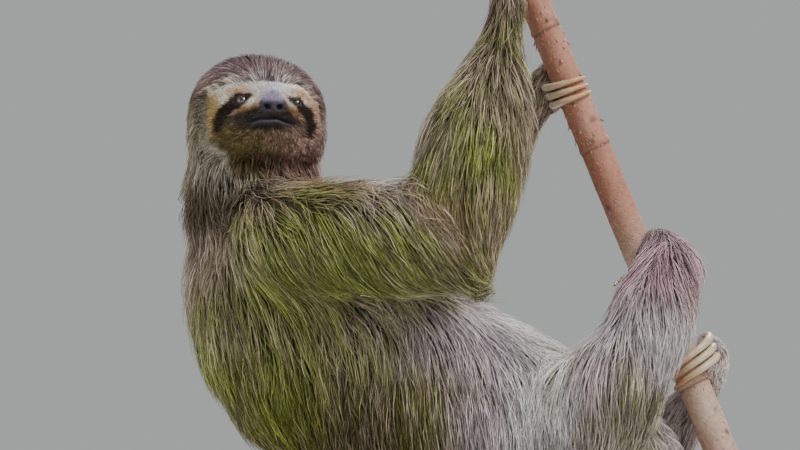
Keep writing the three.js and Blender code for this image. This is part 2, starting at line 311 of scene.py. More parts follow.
# %% A shader tree in few lines
def shader(name, roughness, painted, fleck, relief=None, **sockets):
    """A principled material from a painted colour, a fleck of noise and a fine relief.

    painted is the attribute's name or a plain colour, fleck is (scale, amount)
    and relief is (scale, height in metres), both on Object coordinates.
    """
    material, tree, place = new_material(name)
    if isinstance(painted, str):
        colour = add(tree, "ShaderNodeAttribute", {"attribute_name": painted}).outputs["Color"]
    else:
        colour = add(tree, "ShaderNodeRGB").outputs[0]
        colour.default_value = (*painted, 1.0)
    scale, amount = fleck
    pattern = add(tree, "ShaderNodeTexNoise", Vector=place, Scale=scale, Detail=3.0)
    spread = add(
        tree, "ShaderNodeMapRange", Value=pattern.outputs["Fac"],
        From_Min=0.3, From_Max=0.7, To_Min=1.0 - amount, To_Max=1.0 + amount,
    )
    shaded = add(
        tree, "ShaderNodeVectorMath", {"operation": "SCALE"},
        Vector=colour, Scale=spread.outputs["Result"],
    )
    sockets.update(Roughness=roughness, Base_Color=shaded.outputs["Vector"])
    if relief:
        grain = add(tree, "ShaderNodeTexNoise", Vector=place, Scale=relief[0], Detail=4.0)
        raised = add(tree, "ShaderNodeBump", Height=grain.outputs["Fac"], Distance=relief[1])
        sockets["Normal"] = raised.outputs["Normal"]
    feed(tree, tree.nodes["Principled BSDF"], sockets)
    return material


# %% The finishes
HAIR = shader("hair", 0.5, "Marking", (240.0, 0.16), Specular_IOR_Level=0.25)
SHORT_HAIR = shader("short_hair", 0.6, "Marking", (400.0, 0.14), Specular_IOR_Level=0.2)
SKIN = shader("skin", 0.5, "Marking", (420.0, 0.22), (1100.0, 0.0006), Specular_IOR_Level=0.35)
HORN = shader("claw_horn", 0.32, "Marking", (500.0, 0.1), (900.0, 0.0001))
EYE = shader("wet_eye", 0.06, "Marking", (900.0, 0.15), Coat_Weight=1.0, Coat_Roughness=0.02)
BARK = shader("peeling_bark", 0.62, "Marking", (330.0, 0.16), (700.0, 0.0005))
CORK = shader("lenticel_cork", 0.85, (0.42, 0.3, 0.22), (900.0, 0.25), (1500.0, 0.0002))
STEEL = shader("brushed_steel", 0.34, (0.42, 0.42, 0.43), (120.0, 0.06), (2500.0, 0.00004), Metallic=1.0)
print("finishes:", [material.name for material in bpy.data.materials])

# %% [markdown]
# ## Where the head looks
#
# The face is easiest to work on in its own directions: sideways, forwards and
# upwards from the middle of the head, in millimetres.  The nose's solid says
# where that middle is, and three turns say which way the animal looks.

# %% The head's own directions
HEAD_YAW, HEAD_PITCH, HEAD_ROLL = (math.radians(angle) for angle in (13, 15, 3))
NOSE_FRONT, NOSE_UP = 51.0, -4.5  # of the nose's centre, from the middle of the head
FACE_ASIDE, EYES_ASIDE = 1.9, 1.1  # face and eyes sit a little to one side on the head
EYE_RADIUS = 5.6


def turn(axis, angle):
    """Rotation matrix about a main axis."""
    c, s = math.cos(angle), math.sin(angle)
    i, j = {"X": (1, 2), "Y": (2, 0), "Z": (0, 1)}[axis]
    matrix = np.eye(3)
    matrix[i, i] = matrix[j, j] = c
    matrix[i, j], matrix[j, i] = -s, s
    return matrix


def middle(node):
    """Centre of a CAD node's box."""
    low, high = (np.array(corner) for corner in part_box(node))
    return (low + high) / 2.0


head_turn = turn("Z", HEAD_YAW) @ turn("X", -HEAD_PITCH) @ turn("Y", HEAD_ROLL)
HEAD_AXES = np.array([head_turn @ axis for axis in ((1, 0, 0), (0, -1, 0), (0, 0, 1))])
head_middle = middle("nose") - (HEAD_AXES[1] * NOSE_FRONT + HEAD_AXES[2] * NOSE_UP) * MM
head_middle += HEAD_AXES[0] * FACE_ASIDE * MM


def to_head(points):
    """Positions in metres to side, front and up in millimetres."""
    return (points - head_middle) @ HEAD_AXES.T / MM


def from_head(local):
    """Side, front and up in millimetres to positions in metres."""
    return local @ HEAD_AXES * MM + head_middle


eyes = {name: to_head(middle(name)) + (EYES_ASIDE, 0.0, 0.0) for name in ("eye_right", "eye_left")}
print("head middle:", head_middle.round(4), "eyes:", {n: e.round(1) for n, e in eyes.items()})

# %% [markdown]
# ## The branch's own directions
#
# Hands, feet, claws and bark all follow the branch, so one function gives any
# place beside it from the distance down it, the angle round it and the radius.

# %% Places beside the branch
PERCH_TOP, PERCH_END = np.array([3.0, 0.0, 535.0]), np.array([179.0, 0.0, 112.0])
PERCH_RADIUS, PERCH_WIDENS, PERCH_SWELL, RING_SPACING = 10.8, 1.2, 0.8, 92.0
perch_length = float(np.linalg.norm(PERCH_END - PERCH_TOP))
perch_axis = (PERCH_END - PERCH_TOP) / perch_length
perch_front = np.array([0.0, -1.0, 0.0])
perch_right = np.cross(perch_front, perch_axis)


def beside_perch(along, angle, radius):
    """Points in metres from distances, angles and radii beside the branch."""
    along, angle, radius = (np.asarray(v, dtype=float)[..., None] for v in (along, angle, radius))
    across = perch_front * np.cos(angle) + perch_right * np.sin(angle)
    return (PERCH_TOP + perch_axis * along + across * radius) * MM


def perch_clearance(points):
    """Distance in millimetres from points to the branch's surface."""
    offset = points / MM - PERCH_TOP
    along = offset @ perch_axis
    away = np.linalg.norm(offset - along[:, None] * perch_axis, axis=1)
    return away - PERCH_RADIUS - PERCH_WIDENS * along / perch_length


# Where each hand and foot grips: distance down the branch, first angle, sweep,
# drift along it, change of sweep from claw to claw, room at fingertip and at point
GRIPS = {
    "hand_right": (38, -48, 225, -4, 0, 1.2, 0),
    "hand_left": (138, -138, 215, 4, 0, 1.2, 0),
    "foot_right": (276, 20, 240, 12, -18, 1.2, 12),
    "foot_left": (349, 105, -187, 14, 0, 8, 0),
}
CLAW_BASE, CLAW_TIP, CLAW_SPACING, CLAW_GATHER, CLAW_CLEAR = 3.1, 0.7, 7.2, 0.25, 0.5


def claw_path(limb, number, part):
    """Centre line and radius of one claw, where part runs from 0 at the finger to 1."""
    along, start, sweep, drift, fan, lift, flare = GRIPS[limb]
    offset = (number - 2) * CLAW_SPACING
    thickness = CLAW_BASE + (CLAW_TIP - CLAW_BASE) * np.clip(part, 0, 1) ** 1.6
    place = along + offset * (1.0 - CLAW_GATHER * part) + drift * part
    branch = PERCH_RADIUS + PERCH_WIDENS * place / perch_length + PERCH_SWELL
    room = lift * (1.0 - part) + flare * np.clip(part, 0, 1) ** 3
    angle = np.radians(start + (sweep + fan * (number - 2)) * part)
    return beside_perch(place, angle, branch + CLAW_CLEAR + thickness + room), thickness * MM


print("branch:", round(perch_length, 1), "mm")

# %% [markdown]
# ## One skin from many solids
#
# The animal is one continuous surface, but the frame holds it as separate
# solids with thin gaps.  A voxel remesh swallows such gaps: it fills a grid of
# small cubes wherever there is flesh and wraps a fresh surface round them.  The
# eyes go in too, so that no pit is left for them, and so do short fingers round
# the roots of the claws.

# %% Join and remesh the solids of flesh
SKIN_VOXEL = 3.2 * MM


def node_triangles(node):
    """A CAD node's triangles as corner positions."""
    mesh = frame["nodes"][node].data
    return points_of(mesh)[triangles_of(mesh)]


def tube(path, radii, sides, name):
    """A closed tube of round rings along a path, with a pole at each end."""
    ahead = np.vstack([path[1:], path[-1:]])
    behind = np.vstack([path[:1], path[:-1]])
    tangent = unit(ahead - behind)
    outward = flat_to(tangent, np.broadcast_to(perch_axis + 1e-3, tangent.shape))
    sideways = np.cross(tangent, outward)
    angle = np.linspace(0, 2 * np.pi, sides, endpoint=False)[None, :, None]
    rings = path[:, None] + radii[:, None, None] * (
        outward[:, None] * np.cos(angle) + sideways[:, None] * np.sin(angle)
    )
    ends = np.array([path[0] - tangent[0] * radii[0] * 0.5, path[-1] + tangent[-1] * radii[-1]])
    points = np.vstack([rings.reshape(-1, 3), ends])
    last = (len(path) - 1) * sides
    start, end = cap(0, len(points) - 2, sides, False), cap(last, len(points) - 1, sides, True)
    return mesh_object(name, points, bands(len(path), sides), np.vstack([start, end]))


FINGER = np.linspace(-0.16, 0.1, 6)  # how far along its claw's path a finger reaches
FINGER_FLESH, FINGER_SIDES = 1.9 * MM, 10
fingers = []
for limb in GRIPS:
    for number in (1, 2, 3):
        path, thickness = claw_path(limb, number, FINGER)
        finger = tube(path, thickness + FINGER_FLESH, FINGER_SIDES, "finger")
        fingers.append(points_of(finger.data)[triangles_of(finger.data)])
        bpy.data.objects.remove(finger)

flesh_corners = {node: node_triangles(node) for node in FLESH}
fillers = [node_triangles(name) for name in eyes] + fingers
soup = np.concatenate([c.reshape(-1, 3) for c in [*flesh_corners.values(), *fillers]])
lump = mesh_object("lump", soup, np.arange(len(soup)).reshape(-1, 3))
remesh = lump.modifiers.new("fill", "REMESH")
remesh.mode = "VOXEL"
remesh.voxel_size = SKIN_VOXEL
graph = bpy.context.evaluated_depsgraph_get()
skin_mesh = bpy.data.meshes.new_from_object(lump.evaluated_get(graph))
bpy.data.objects.remove(lump)
print("remeshed:", len(skin_mesh.vertices), "points")

# %% [markdown]
# ## What grows where
#
# Every part of the body has its own coat.  The table says, for each solid, how
# deep the skin lies under the tips, how long and wide the locks are, which way
# they lie, and how much green algae lives in them.  Each skin point takes the
# values of the solid nearest to it, and smoothing spreads them from part to part.

# %% The coat table
COAT = {
    # depth, length and width in mm, direction the hair points, algae
    "head": (6.0, 14.0, 0.75, (0.0, 0.0, -1.0), 0.05),
    "nose": (1.0, 3.0, 0.5, (0.0, 0.0, -1.0), 0.0),
    "neck": (14.0, 34.0, 1.0, (0.6, 0.0, -0.8), 0.15),
    "chest": (15.0, 46.0, 1.2, (0.3, 0.0, -1.0), 0.75),
    "belly": (13.0, 44.0, 1.05, (0.1, 0.0, -1.0), 0.16),
    "rump": (13.0, 42.0, 1.05, (0.0, 0.0, -1.0), 0.08),
    "tail": (5.0, 22.0, 1.0, (0.7, 0.0, -0.6), 0.05),
    "upper_arm_right": (13.0, 46.0, 1.15, (0.62, 0.0, -0.8), 0.85),
    "elbow_right": (7.0, 34.0, 1.1, (0.55, 0.0, -0.85), 0.5),
    "forearm_right": (11.0, 42.0, 1.1, (-0.1, -0.1, -1.0), 0.6),
    "hand_right": (4.0, 18.0, 0.9, (0.1, -0.1, -1.0), 0.1),
    "upper_arm_left": (12.0, 44.0, 1.15, (0.6, 0.3, -0.8), 0.6),
    "forearm_left": (10.0, 40.0, 1.1, (-0.35, 0.4, -0.9), 0.4),
    "hand_left": (4.0, 16.0, 0.9, (-0.3, 0.3, -0.8), 0.05),
    "thigh_right": (12.0, 42.0, 1.0, (-0.12, 0.0, -1.0), 0.22),
    "shank_right": (9.0, 38.0, 1.0, (0.02, -0.1, -1.0), 0.12),
    "foot_right": (5.0, 26.0, 0.9, (0.15, -0.25, -0.9), 0.0),
    "thigh_left": (11.0, 40.0, 1.0, (-0.4, 0.1, -0.9), 0.1),
    "shank_left": (7.0, 30.0, 1.0, (-0.7, 0.4, -0.6), 0.05),
    "foot_left": (3.0, 9.0, 0.8, (-0.2, 0.4, -0.9), 0.0),
}
DEPTH, LENGTH, WIDTH, LIE, ALGAE = 0, 1, 2, slice(3, 6), 6  # columns once it is an array
SAMPLE_SPACING, LEAST_SAMPLES, SPREAD_ROUNDS = 4 * MM, 20, 14


# %% Spread the table over the skin
def areas(corners):
    """Areas of triangles from their corners."""
    a, b, c = (corners[:, number] for number in range(3))
    return np.linalg.norm(np.cross(b - a, c - a), axis=1) / 2.0


def random_spots(chance, count):
    """Picks triangles by chance, with a place in each as shares of its two sides."""
    pick = rng.choice(len(chance), count, p=chance / chance.sum())
    u, v = rng.random(count), rng.random(count)
    fold = u + v > 1.0
    u[fold], v[fold] = 1.0 - u[fold], 1.0 - v[fold]
    return pick, u, v


def scatter(corners):
    """Random points on triangles, about the sample spacing apart."""
    area = areas(corners)
    pick, u, v = random_spots(area, max(LEAST_SAMPLES, int(area.sum() / SAMPLE_SPACING**2)))
    a, b, c = (corners[pick, number] for number in range(3))
    return a + u[:, None] * (b - a) + v[:, None] * (c - a)


samples = [scatter(flesh_corners[node]) for node in FLESH]
sample_node = np.concatenate([np.full(len(s), i) for i, s in enumerate(samples)])
sample_tree = tree_of(np.concatenate(samples))
skin_points = points_of(skin_mesh)
skin_edges = edges_of(skin_mesh)
owner = sample_node[nearest(sample_tree, skin_points)]
share = relax(np.eye(len(FLESH))[owner], skin_edges, SPREAD_ROUNDS, 0.6)
table = np.array([[*COAT[node][:3], *COAT[node][3], COAT[node][4]] for node in FLESH])
values = share @ table
print("skin points on the head:", int((owner == FLESH.index("head")).sum()))

# %% [markdown]
# ## Smooth the skin and sink it under the coat
#
# The skin is relaxed until no facet shows.  Plain smoothing would shrink thin
# parts such as the wrist, so each round of it is followed by a round that pushes
# back.  Then every point sinks by its coat's depth.  A ray through the body says
# how thick it is there, and a point never sinks more than a fifth of that.

# %% Relax without shrinking
SMOOTH_ROUNDS = 14
head_share = share[:, FLESH.index("head")] + share[:, FLESH.index("nose")]
for _ in range(SMOOTH_ROUNDS):
    skin_points = relax(skin_points, skin_edges, 1, 0.6)
    skin_points = relax(skin_points, skin_edges, 1, -0.62)
skin_points = relax(skin_points, skin_edges, 2, 0.5)
skin_normals = moved(skin_mesh, skin_points)


# %% How deep each point may sink
THICKEST = 0.2  # in metres, where a ray finds no far side
SINK_SHARE = 0.2  # of the body's thickness
FACE_DEPTH = 1.6  # in millimetres, under the short hair


def cheek_edge(side, up):
    """Distance inside the sides of the mask: straight at the cheeks, slanting under the jaw."""
    slant = 0.58 * (side + 43.0) + 0.81 * (up + 27.0)
    return np.minimum(np.where(side < 0.0, 42.5 + side, 37.0 - side), slant)


def mask_top(side):
    """Height of the upper edge of the mask, which falls more on one side than on the other."""
    return 14.5 - 4.5 * ramp(24.0, 44.0, -side) - 9.0 * ramp(20.0, 36.0, side)


def face_reach(local):
    """Distance in millimetres inside the short-haired mask of face and chin, negative outside."""
    side, front, up = local.T
    return np.minimum.reduce([
        cheek_edge(side, up),
        mask_top(side) - 0.5 - up,
        up + 35.0,
        (front - 8.0) * 0.8,
    ])


body_tree = BVHTree.FromPolygons(skin_points.tolist(), triangles_of(skin_mesh).tolist())
thickness = np.full(len(skin_points), THICKEST)
for number, (point, normal) in enumerate(zip(skin_points, skin_normals)):
    hit = body_tree.ray_cast(Vector(point - normal * 0.1 * MM), Vector(-normal))
    if hit[3] is not None:
        thickness[number] = hit[3]
for _ in range(4):  # narrow clefts between solids count as filled
    for a, b in (skin_edges.T, skin_edges.T[::-1]):
        np.maximum.at(thickness, a, thickness[b])
thickness = relax(thickness, skin_edges, 8)

local = to_head(skin_points)
on_face = ramp(-5.0, 4.0, face_reach(local)) * ramp(0.4, 0.8, head_share)
depth = mix(values[:, DEPTH], FACE_DEPTH, on_face)
depth = np.minimum(depth, SINK_SHARE * thickness / MM)
depth *= ramp(1.0, 5.0, perch_clearance(skin_points))
depth = relax(depth, skin_edges, 4)

# %% Sink in a few steps
SINK_STEPS = 5
for _ in range(SINK_STEPS):
    skin_points = skin_points - skin_normals * (depth / SINK_STEPS)[:, None] * MM
    skin_points = relax(skin_points, skin_edges, 1, 0.4, 1.0 - on_face)
    skin_normals = moved(skin_mesh, skin_points)
print("mean depth:", depth.mean().round(1), "mm")

# %% [markdown]
# ## Finer skin where the face is
#
# Lids, nostrils and lips need a much finer net than the trunk.  Faces in the
# face's zone are cut into four by four, and those round the eyes, nose and mouth
# once more.  The cut also shares out the numbers stored on the points, so the
# coat's table needs no second pass.

# %% Cut the face's net
STORED = ("table_a", "table_b", "table_c")
EYE_SPOT = (20.0, 0.6)  # side and up of the eyes, seen from the front
last_columns = np.stack([values[:, ALGAE], head_share, on_face], axis=1)
for name, columns in zip(STORED, (values[:, :3], values[:, LIE], last_columns)):
    give(skin_mesh, name, columns)


def cut_zone(mesh, inside, cuts):
    """Cuts the edges whose two ends are inside."""
    net = bmesh.new()
    net.from_mesh(mesh)
    net.verts.ensure_lookup_table()
    chosen = [e for e in net.edges if inside[e.verts[0].index] and inside[e.verts[1].index]]
    bmesh.ops.subdivide_edges(net, edges=chosen, cuts=cuts, use_grid_fill=True)
    net.to_mesh(mesh)
    net.free()
    return len(chosen)


def from_eye(side, up):
    """Distance in millimetres from the nearer eye, seen from the front."""
    return np.hypot(np.abs(side) - EYE_SPOT[0], up - EYE_SPOT[1])


def feature_zone(local):
    """True round the eyes, the nose and the mouth."""
    side, front, up = local.T
    snout = (np.abs(side) < 19.0) & (up > -22.0) & (up < 9.0)
    return (front > 20.0) & ((from_eye(side, up) < 10.5) | snout)


local = to_head(skin_points)
cut = cut_zone(skin_mesh, (face_reach(local) > -5.0) & (head_share > 0.5), 3)
local = to_head(points_of(skin_mesh))
cut += cut_zone(skin_mesh, feature_zone(local), 1)
skin_points, skin_edges = points_of(skin_mesh), edges_of(skin_mesh)
stored = [numbers(skin_mesh.attributes[name].data, "vector", 3) for name in STORED]
values = np.hstack([stored[0], stored[1], stored[2][:, :1]])
head_share, on_face = stored[2][:, 1], stored[2][:, 2]
drop(skin_mesh, *STORED)
print("edges cut:", cut, "points now:", len(skin_points))

# %% [markdown]
# ## The face
#
# A sloth's face is a flat round mask: a broad short muzzle with a leathery nose
# pad, small eyes in thick lids, and a wide mouth that seems to smile.  The mask
# is laid on a smooth formula for the head, then each feature is added as a soft
# rise or groove in millimetres.

# %% The head's smooth shape
MUZZLE = ((0.0, 46.0, -8.0), 9.0, 17.0)  # centre, lift and spread
BROW = ((0.0, 40.0, 19.0), 2.5, 14.0)


def head_reach(direction):
    """Distance from the head's middle to the tips of its coat."""
    side, front, up = np.abs(direction).T
    half_front = np.where(direction[:, 1] > 0.0, 43.0, 48.0)
    power = mix(2.15, 3.6, ramp(-0.1, 0.7, -direction[:, 2]))
    reach = ((side / 51.0) ** power + (front / half_front) ** power + (up / 47.0) ** power) ** (-1.0 / power)
    point = direction * reach[:, None]
    for centre, lift, spread in (MUZZLE, BROW):
        away = np.linalg.norm(point - np.array(centre), axis=1)
        reach = reach + lift * np.exp(-((away / spread) ** 2))
    return reach


def mouth_line(side):
    """Height of the closed mouth across the face."""
    return -14.2 - 1.5 * (side / 14.0) ** 2 - 0.03 * side + 0.25 * np.sin(side * 0.55)


def nose_pad(side, up):
    """Below 1 on the leather of the nose."""
    half = 12.4 - 0.4 * (up + 6.0)
    return (np.abs(side) / np.maximum(half, 3.0)) ** 2.4 + (np.abs(up + 2.6) / 8.4) ** 2.4


def face_relief(side, up):
    """How far the features stand out of the smooth face, in millimetres."""
    far = np.abs(side)
    lips = 1.0 - ramp(12.5, 17.5, far)
    above = up - mouth_line(side)
    pad = nose_pad(side, up)
    relief = 1.3 * bump(far, 18.0, 9.0) * bump(up, 9.0, 3.6)
    relief += 1.2 * np.exp(-(((far - EYE_SPOT[0]) ** 2 + (up - EYE_SPOT[1]) ** 2) / 81.0))
    relief += 2.3 * bump(side, 0.0, 8.5) * ramp(-2.0, 6.0, up) * (1.0 - ramp(9.0, 20.0, up))
    relief += 2.7 * (1.0 - ramp(0.45, 1.5, pad)) + 0.5 * np.clip(1.0 - pad, 0.0, 1.0)
    nostril = ((far - 4.4 - 0.25 * (up + 6.3)) / 2.1) ** 2 + ((up + 6.3) / 1.7) ** 2
    relief -= 3.4 * np.exp(-(nostril**1.3))
    relief -= 0.9 * np.exp(-(((far - 8.4) / 2.4) ** 2) - ((up + 7.6) / 1.0) ** 2)
    relief -= 0.6 * bump(side, 0.0, 0.9) * ramp(-14.0, -13.0, up) * (1.0 - ramp(-9.5, -7.5, up))
    relief -= 2.1 * bump(above, 0.0, 0.7) * (1.0 - ramp(13.0, 16.0, far))
    relief += 1.1 * bump(above, 2.3, 1.9) * lips + 1.3 * bump(above, -2.2, 1.7) * lips
    relief -= 0.8 * bump(above, -6.2, 2.0) * lips
    relief -= 1.0 * np.exp(-(((far - 15.6) ** 2 + (up + 16.2) ** 2) / 6.0))
    fold = (far - 15.0) * 0.87 + (up + 6.0) * 0.48
    relief -= 0.8 * bump(fold, 0.0, 1.6) * bump(up, -7.0, 6.0)
    return relief


# %% Lay the mask on its formula
local = to_head(skin_points)
distance = np.linalg.norm(local, axis=1)
direction = local / distance[:, None]
target = head_reach(direction) - FACE_DEPTH
on_front = direction * target[:, None]
target += face_relief(on_front[:, 0], on_front[:, 2]) * ramp(22.0, 32.0, on_front[:, 1])
local = direction * mix(distance, target, on_face)[:, None]

# %% [markdown]
# ## The lids
#
# Lids are skin that slides over the eyeball, so they take its roundness.  Round
# each eye the skin is drawn onto a sphere a little larger than the ball, and the
# part inside an almond-shaped opening drops behind it.  Points close to the rim
# slide onto it first, which keeps the edge of the lid clean.

# %% Shape the lids round the eyeballs
EYE_SINK = 1.2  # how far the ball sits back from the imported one
LID = 0.85  # thickness
OPENINGS = {"eye_right": (5.3, 2.9, 2.7), "eye_left": (5.3, 1.7, 2.0)}  # half length, up, down


def eye_frame(name):
    """Centre of the ball, its looking direction, and outward and upward axes."""
    outward = 1.0 if name == "eye_left" else -1.0
    look = unit(np.array([0.36 * outward, 0.92, 0.05]))
    across = unit(np.array([outward, 0.0, -0.16]) - look * (outward * look[0] - 0.16 * look[2]))
    rise = np.cross(across, look) * outward
    rise = rise if rise[2] > 0 else -rise
    return eyes[name] - look * EYE_SINK, look, across, rise


def opening(name, x, y):
    """Signed distance to the rim of the lids, negative inside, about in millimetres."""
    half, upper, lower = OPENINGS[name]
    height = np.where(y > 0.0, upper, lower)
    level = np.abs(y) / height + (x / half) ** 2 - 1.0
    return level * height / np.sqrt(1.0 + (2.0 * x * height / half**2) ** 2)


rim_shade = np.zeros(len(local))
for name in eyes:
    centre, look, across, rise = eye_frame(name)
    offset = local - centre
    x, y, z = offset @ across, offset @ rise, offset @ look
    near = np.hypot(x, y)
    zone = (near < 9.0) & (z > -6.0) & (on_face > 0.5)
    x, y, z, near = x[zone], y[zone], z[zone], near[zone]
    rim = opening(name, x, y)
    slide = np.where(np.abs(rim) < 0.3, -rim * np.sign(y), 0.0)
    y = y + slide
    rim = opening(name, x, y)
    ball = np.sqrt(np.maximum((EYE_RADIUS + LID) ** 2 - x**2 - y**2, 0.0))
    crease = 0.75 * bump(rim, 2.1, 0.45) * (y > 0.0) + 0.5 * bump(rim, 2.3, 0.6) * (y <= 0.0)
    lid = np.maximum(ball - crease + 0.25 * bump(rim, 0.3, 0.35), z)
    drawn = mix(lid, z, ramp(4.4, 8.0, near))
    drawn = np.where(rim < -0.02, EYE_RADIUS - 2.6, drawn)
    local[zone] = centre + np.outer(x, across) + np.outer(y, rise) + np.outer(drawn, look)
    rim_shade[zone] = np.maximum(rim_shade[zone], (1.0 - ramp(0.2, 1.3, rim)))

face_points = on_face > 0.0
skin_points[face_points] = from_head(local[face_points])
skin_normals = moved(skin_mesh, skin_points)
print("lids shaped, openings in mm:", OPENINGS)

# %% [markdown]
# ## Markings
#
# The mask is cream over the brow and yellow on the cheeks, with a dark stripe
# through each eye and a dark muzzle.  The body is grey-brown, paler and cooler
# towards the legs, and green where algae grow in the wet grooves of the hair.
# One function gives the colour of any place, with painted sunlight and painted shade in it, and both skin
# and hair use it.

# %% Colours, as linear red, green and blue
CREAM, WHITE, PEACH = (0.93, 0.82, 0.69), (0.93, 0.91, 0.97), (0.7, 0.42, 0.25)
CHEEK_GOLD, CHEEK_PINK = (0.49, 0.35, 0.145), (0.55, 0.36, 0.27)
STRIPE, MUZZLE_DARK, UNDER_EYE = (0.03, 0.018, 0.013), (0.045, 0.034, 0.03), (0.3, 0.17, 0.07)
NOSE_TOP, NOSE_DARK, LIP = (0.2, 0.16, 0.28), (0.02, 0.016, 0.022), (0.045, 0.034, 0.04)
LILAC_NOSE, NOSTRIL_SHADE, LID_RIM = (0.3, 0.25, 0.42), (0.004, 0.003, 0.003), (0.03, 0.02, 0.018)
CHIN_GOLD, CHIN_RED = (0.14, 0.1, 0.04), (0.39, 0.25, 0.21)
FOREHEAD, CROWN = (0.28, 0.2, 0.2), (0.1, 0.047, 0.055)
RUFF, RUFF_PINK = (0.36, 0.32, 0.22), (0.46, 0.35, 0.3)
TAN, LILAC, PALE = (0.35, 0.275, 0.205), (0.8, 0.68, 0.76), (0.66, 0.57, 0.53)
WRIST, FOOT, GREEN = (0.2, 0.15, 0.105), (0.42, 0.28, 0.33), (0.235, 0.28, 0.04)
FRINGE, SWATH = (0.2, 0.11, 0.06), (0.5, 0.45, 0.37)
UMBER, SUNLIT, FAR_FOOT = (0.155, 0.115, 0.045), (0.95, 0.9, 0.9), (0.68, 0.58, 0.56)

# Eye stripes as side, up and half width, from the corner by the nose to the cheek
STRIPES = {
    -1: ((-14.6, 3.4, 1.4), (-21.7, 1.0, 5.0), (-28.0, -4.9, 4.7), (-31.9, -9.6, 4.4), (-35.0, -20.8, 2.2)),
    1: ((11.8, 2.6, 1.4), (19.8, 0.2, 4.7), (25.2, -5.6, 4.3), (27.0, -13.0, 3.8), (26.6, -20.4, 1.8)),
}


def stripe_gap(side, up):
    """Signed distance to the nearest eye stripe, negative inside."""
    best = np.full(len(side), 99.0)
    for stations in STRIPES.values():
        for (s0, u0, w0), (s1, u1, w1) in zip(stations[:-1], stations[1:]):
            run = np.array([s1 - s0, u1 - u0])
            t = np.clip(((side - s0) * run[0] + (up - u0) * run[1]) / (run @ run), 0.0, 1.0)
            away = np.hypot(side - s0 - t * run[0], up - u0 - t * run[1])
            best = np.minimum(best, away - mix(w0, w1, t))
    return best


def face_colour(local):
    """Colours of the head, from places in the head's own directions."""
    side, front, up = local.T
    far = np.abs(side)
    left = ramp(-16.0, 30.0, side + 9.0 * noise(local, 7.0, 9))
    ragged = 1.4 * noise(local, 4.0, 3) + 1.0 * noise(local, 1.6, 4)
    chin = tint(CHIN_GOLD, CHIN_RED, left)
    chin = chin * (1.0 + 0.6 * noise(local, 1.9, 5) + 0.25 * noise(local, 5.0, 6))[:, None]
    colour = tint(chin, np.array(MUZZLE_DARK) * 1.6, 0.75 * bump(far, 22.0, 7.0) * bump(up, -15.0, 6.0))
    brow = tint(CREAM, WHITE, bump(side, 0.0, 13.0) * ramp(1.0, 8.0, up))
    brow = tint(brow, PEACH, 0.85 * np.exp(-(((far - 22.0) / 8.0) ** 2) - ((up - 6.5) / 3.2) ** 2))
    outer = tint(CHEEK_GOLD, CHEEK_PINK, left)
    brow = tint(brow, LILAC_NOSE, 0.85 * bump(side, -0.7, 8.5) * bump(up, 1.5, 5.0))
    mask = tint(brow, outer, ramp(30.0, 38.0, far + 6.0 * left + 0.3 * (2.0 - up)) * ramp(12.0, 3.0, up))
    mask = tint(mask, UNDER_EYE, ramp(0.0, -7.0, up) * (1.0 - ramp(21.0, 26.0, far)))
    low = -9.5 - 15.0 * ramp(27.0, 36.0, far) + ragged
    colour = tint(colour, mask, ramp(low - 2.0, low + 2.5, up))
    muzzle = ((side + 2.5) / 19.5) ** 2 + ((up + 13.5) / 7.4) ** 2 + 0.08 * ragged
    colour = tint(colour, MUZZLE_DARK, 1.0 - ramp(0.7, 1.5, muzzle))
    stripe = 1.0 - ramp(-1.0, 1.2, stripe_gap(side, up) + 0.5 * ragged)
    colour = tint(colour, STRIPE, stripe)
    top = mask_top(side) - 2.0 - 2.5 * bump(side, 0.5, 3.5) + 1.5 * ragged
    forehead = tint(FOREHEAD, CROWN, ramp(24.0, 36.0, up + 0.12 * side + 1.5 * ragged))
    forehead = tint(forehead, CROWN, 0.75 * ramp(24.0, 36.0, side) * ramp(2.0, 12.0, up))
    forehead = tint(forehead, CHEEK_GOLD, 0.25 * ramp(-22.0, -38.0, side) * ramp(30.0, 16.0, up))
    colour = tint(colour, forehead, ramp(top - 2.0, top + 8.0, up))
    ruff = tint(RUFF, RUFF_PINK, ramp(0.0, 25.0, side))
    ruff = tint(ruff, SWATH, 0.8 * ramp(-16.0, -30.0, up) * ramp(-4.0, -16.0, side))
    ruff = tint(ruff, CROWN, 0.7 * ramp(-12.0, 20.0, up + 3.0 * ragged))
    rim_line = cheek_edge(side, up)
    edge = np.minimum(rim_line - 2.5, front - 6.0) + 1.2 * ragged
    colour = tint(ruff, colour, ramp(-1.5, 1.5, edge))
    # Painted light: colours under the chin, where the hair faces down into shade, are made up to 1.6 times
    # brighter.
    colour = colour * (1.0 + 0.6 * ramp(-34.0, -42.0, up))[:, None]
    shadow = 0.55 * bump(rim_line + ragged, -2.0, 1.6) * ramp(10.0, 2.0, up)
    return tint(colour, STRIPE, shadow * ramp(-34.0, -26.0, up) * ramp(15.0, 22.0, front))


def leather_colour(side, up):
    """Colours of the bare nose and lips."""
    top = ramp(-4.2, 0.3, up) * (1.0 - ramp(6.0, 11.5, np.abs(side + 0.7)))
    colour = tint(NOSE_DARK, NOSE_TOP, top)
    colour = tint(colour, LILAC_NOSE, 0.8 * ramp(1.0, 6.0, up))
    lips = bump(up - mouth_line(side), -2.4, 1.8) * (1.0 - ramp(12.0, 16.0, np.abs(side)))
    colour = tint(colour, LIP, lips)
    # Painted shade: the nostrils are darkened nearly to black.
    nostril = np.exp(-(((np.abs(side) - 4.4) / 2.3) ** 2) - ((up + 6.3) / 1.8) ** 2)
    return tint(colour, NOSTRIL_SHADE, ramp(0.35, 0.7, nostril))


def leather_share(side, up):
    """1 on bare leather, 0 where hair grows."""
    pad = (1.0 - ramp(0.5, 1.3, nose_pad(side, up))) * (1.0 - ramp(-1.5, 5.0, up))
    above = up - mouth_line(side)
    lips = (1.0 - ramp(2.2, 4.0, np.abs(above + 0.6))) * (1.0 - ramp(13.0, 16.5, np.abs(side)))
    return np.maximum(pad, lips)


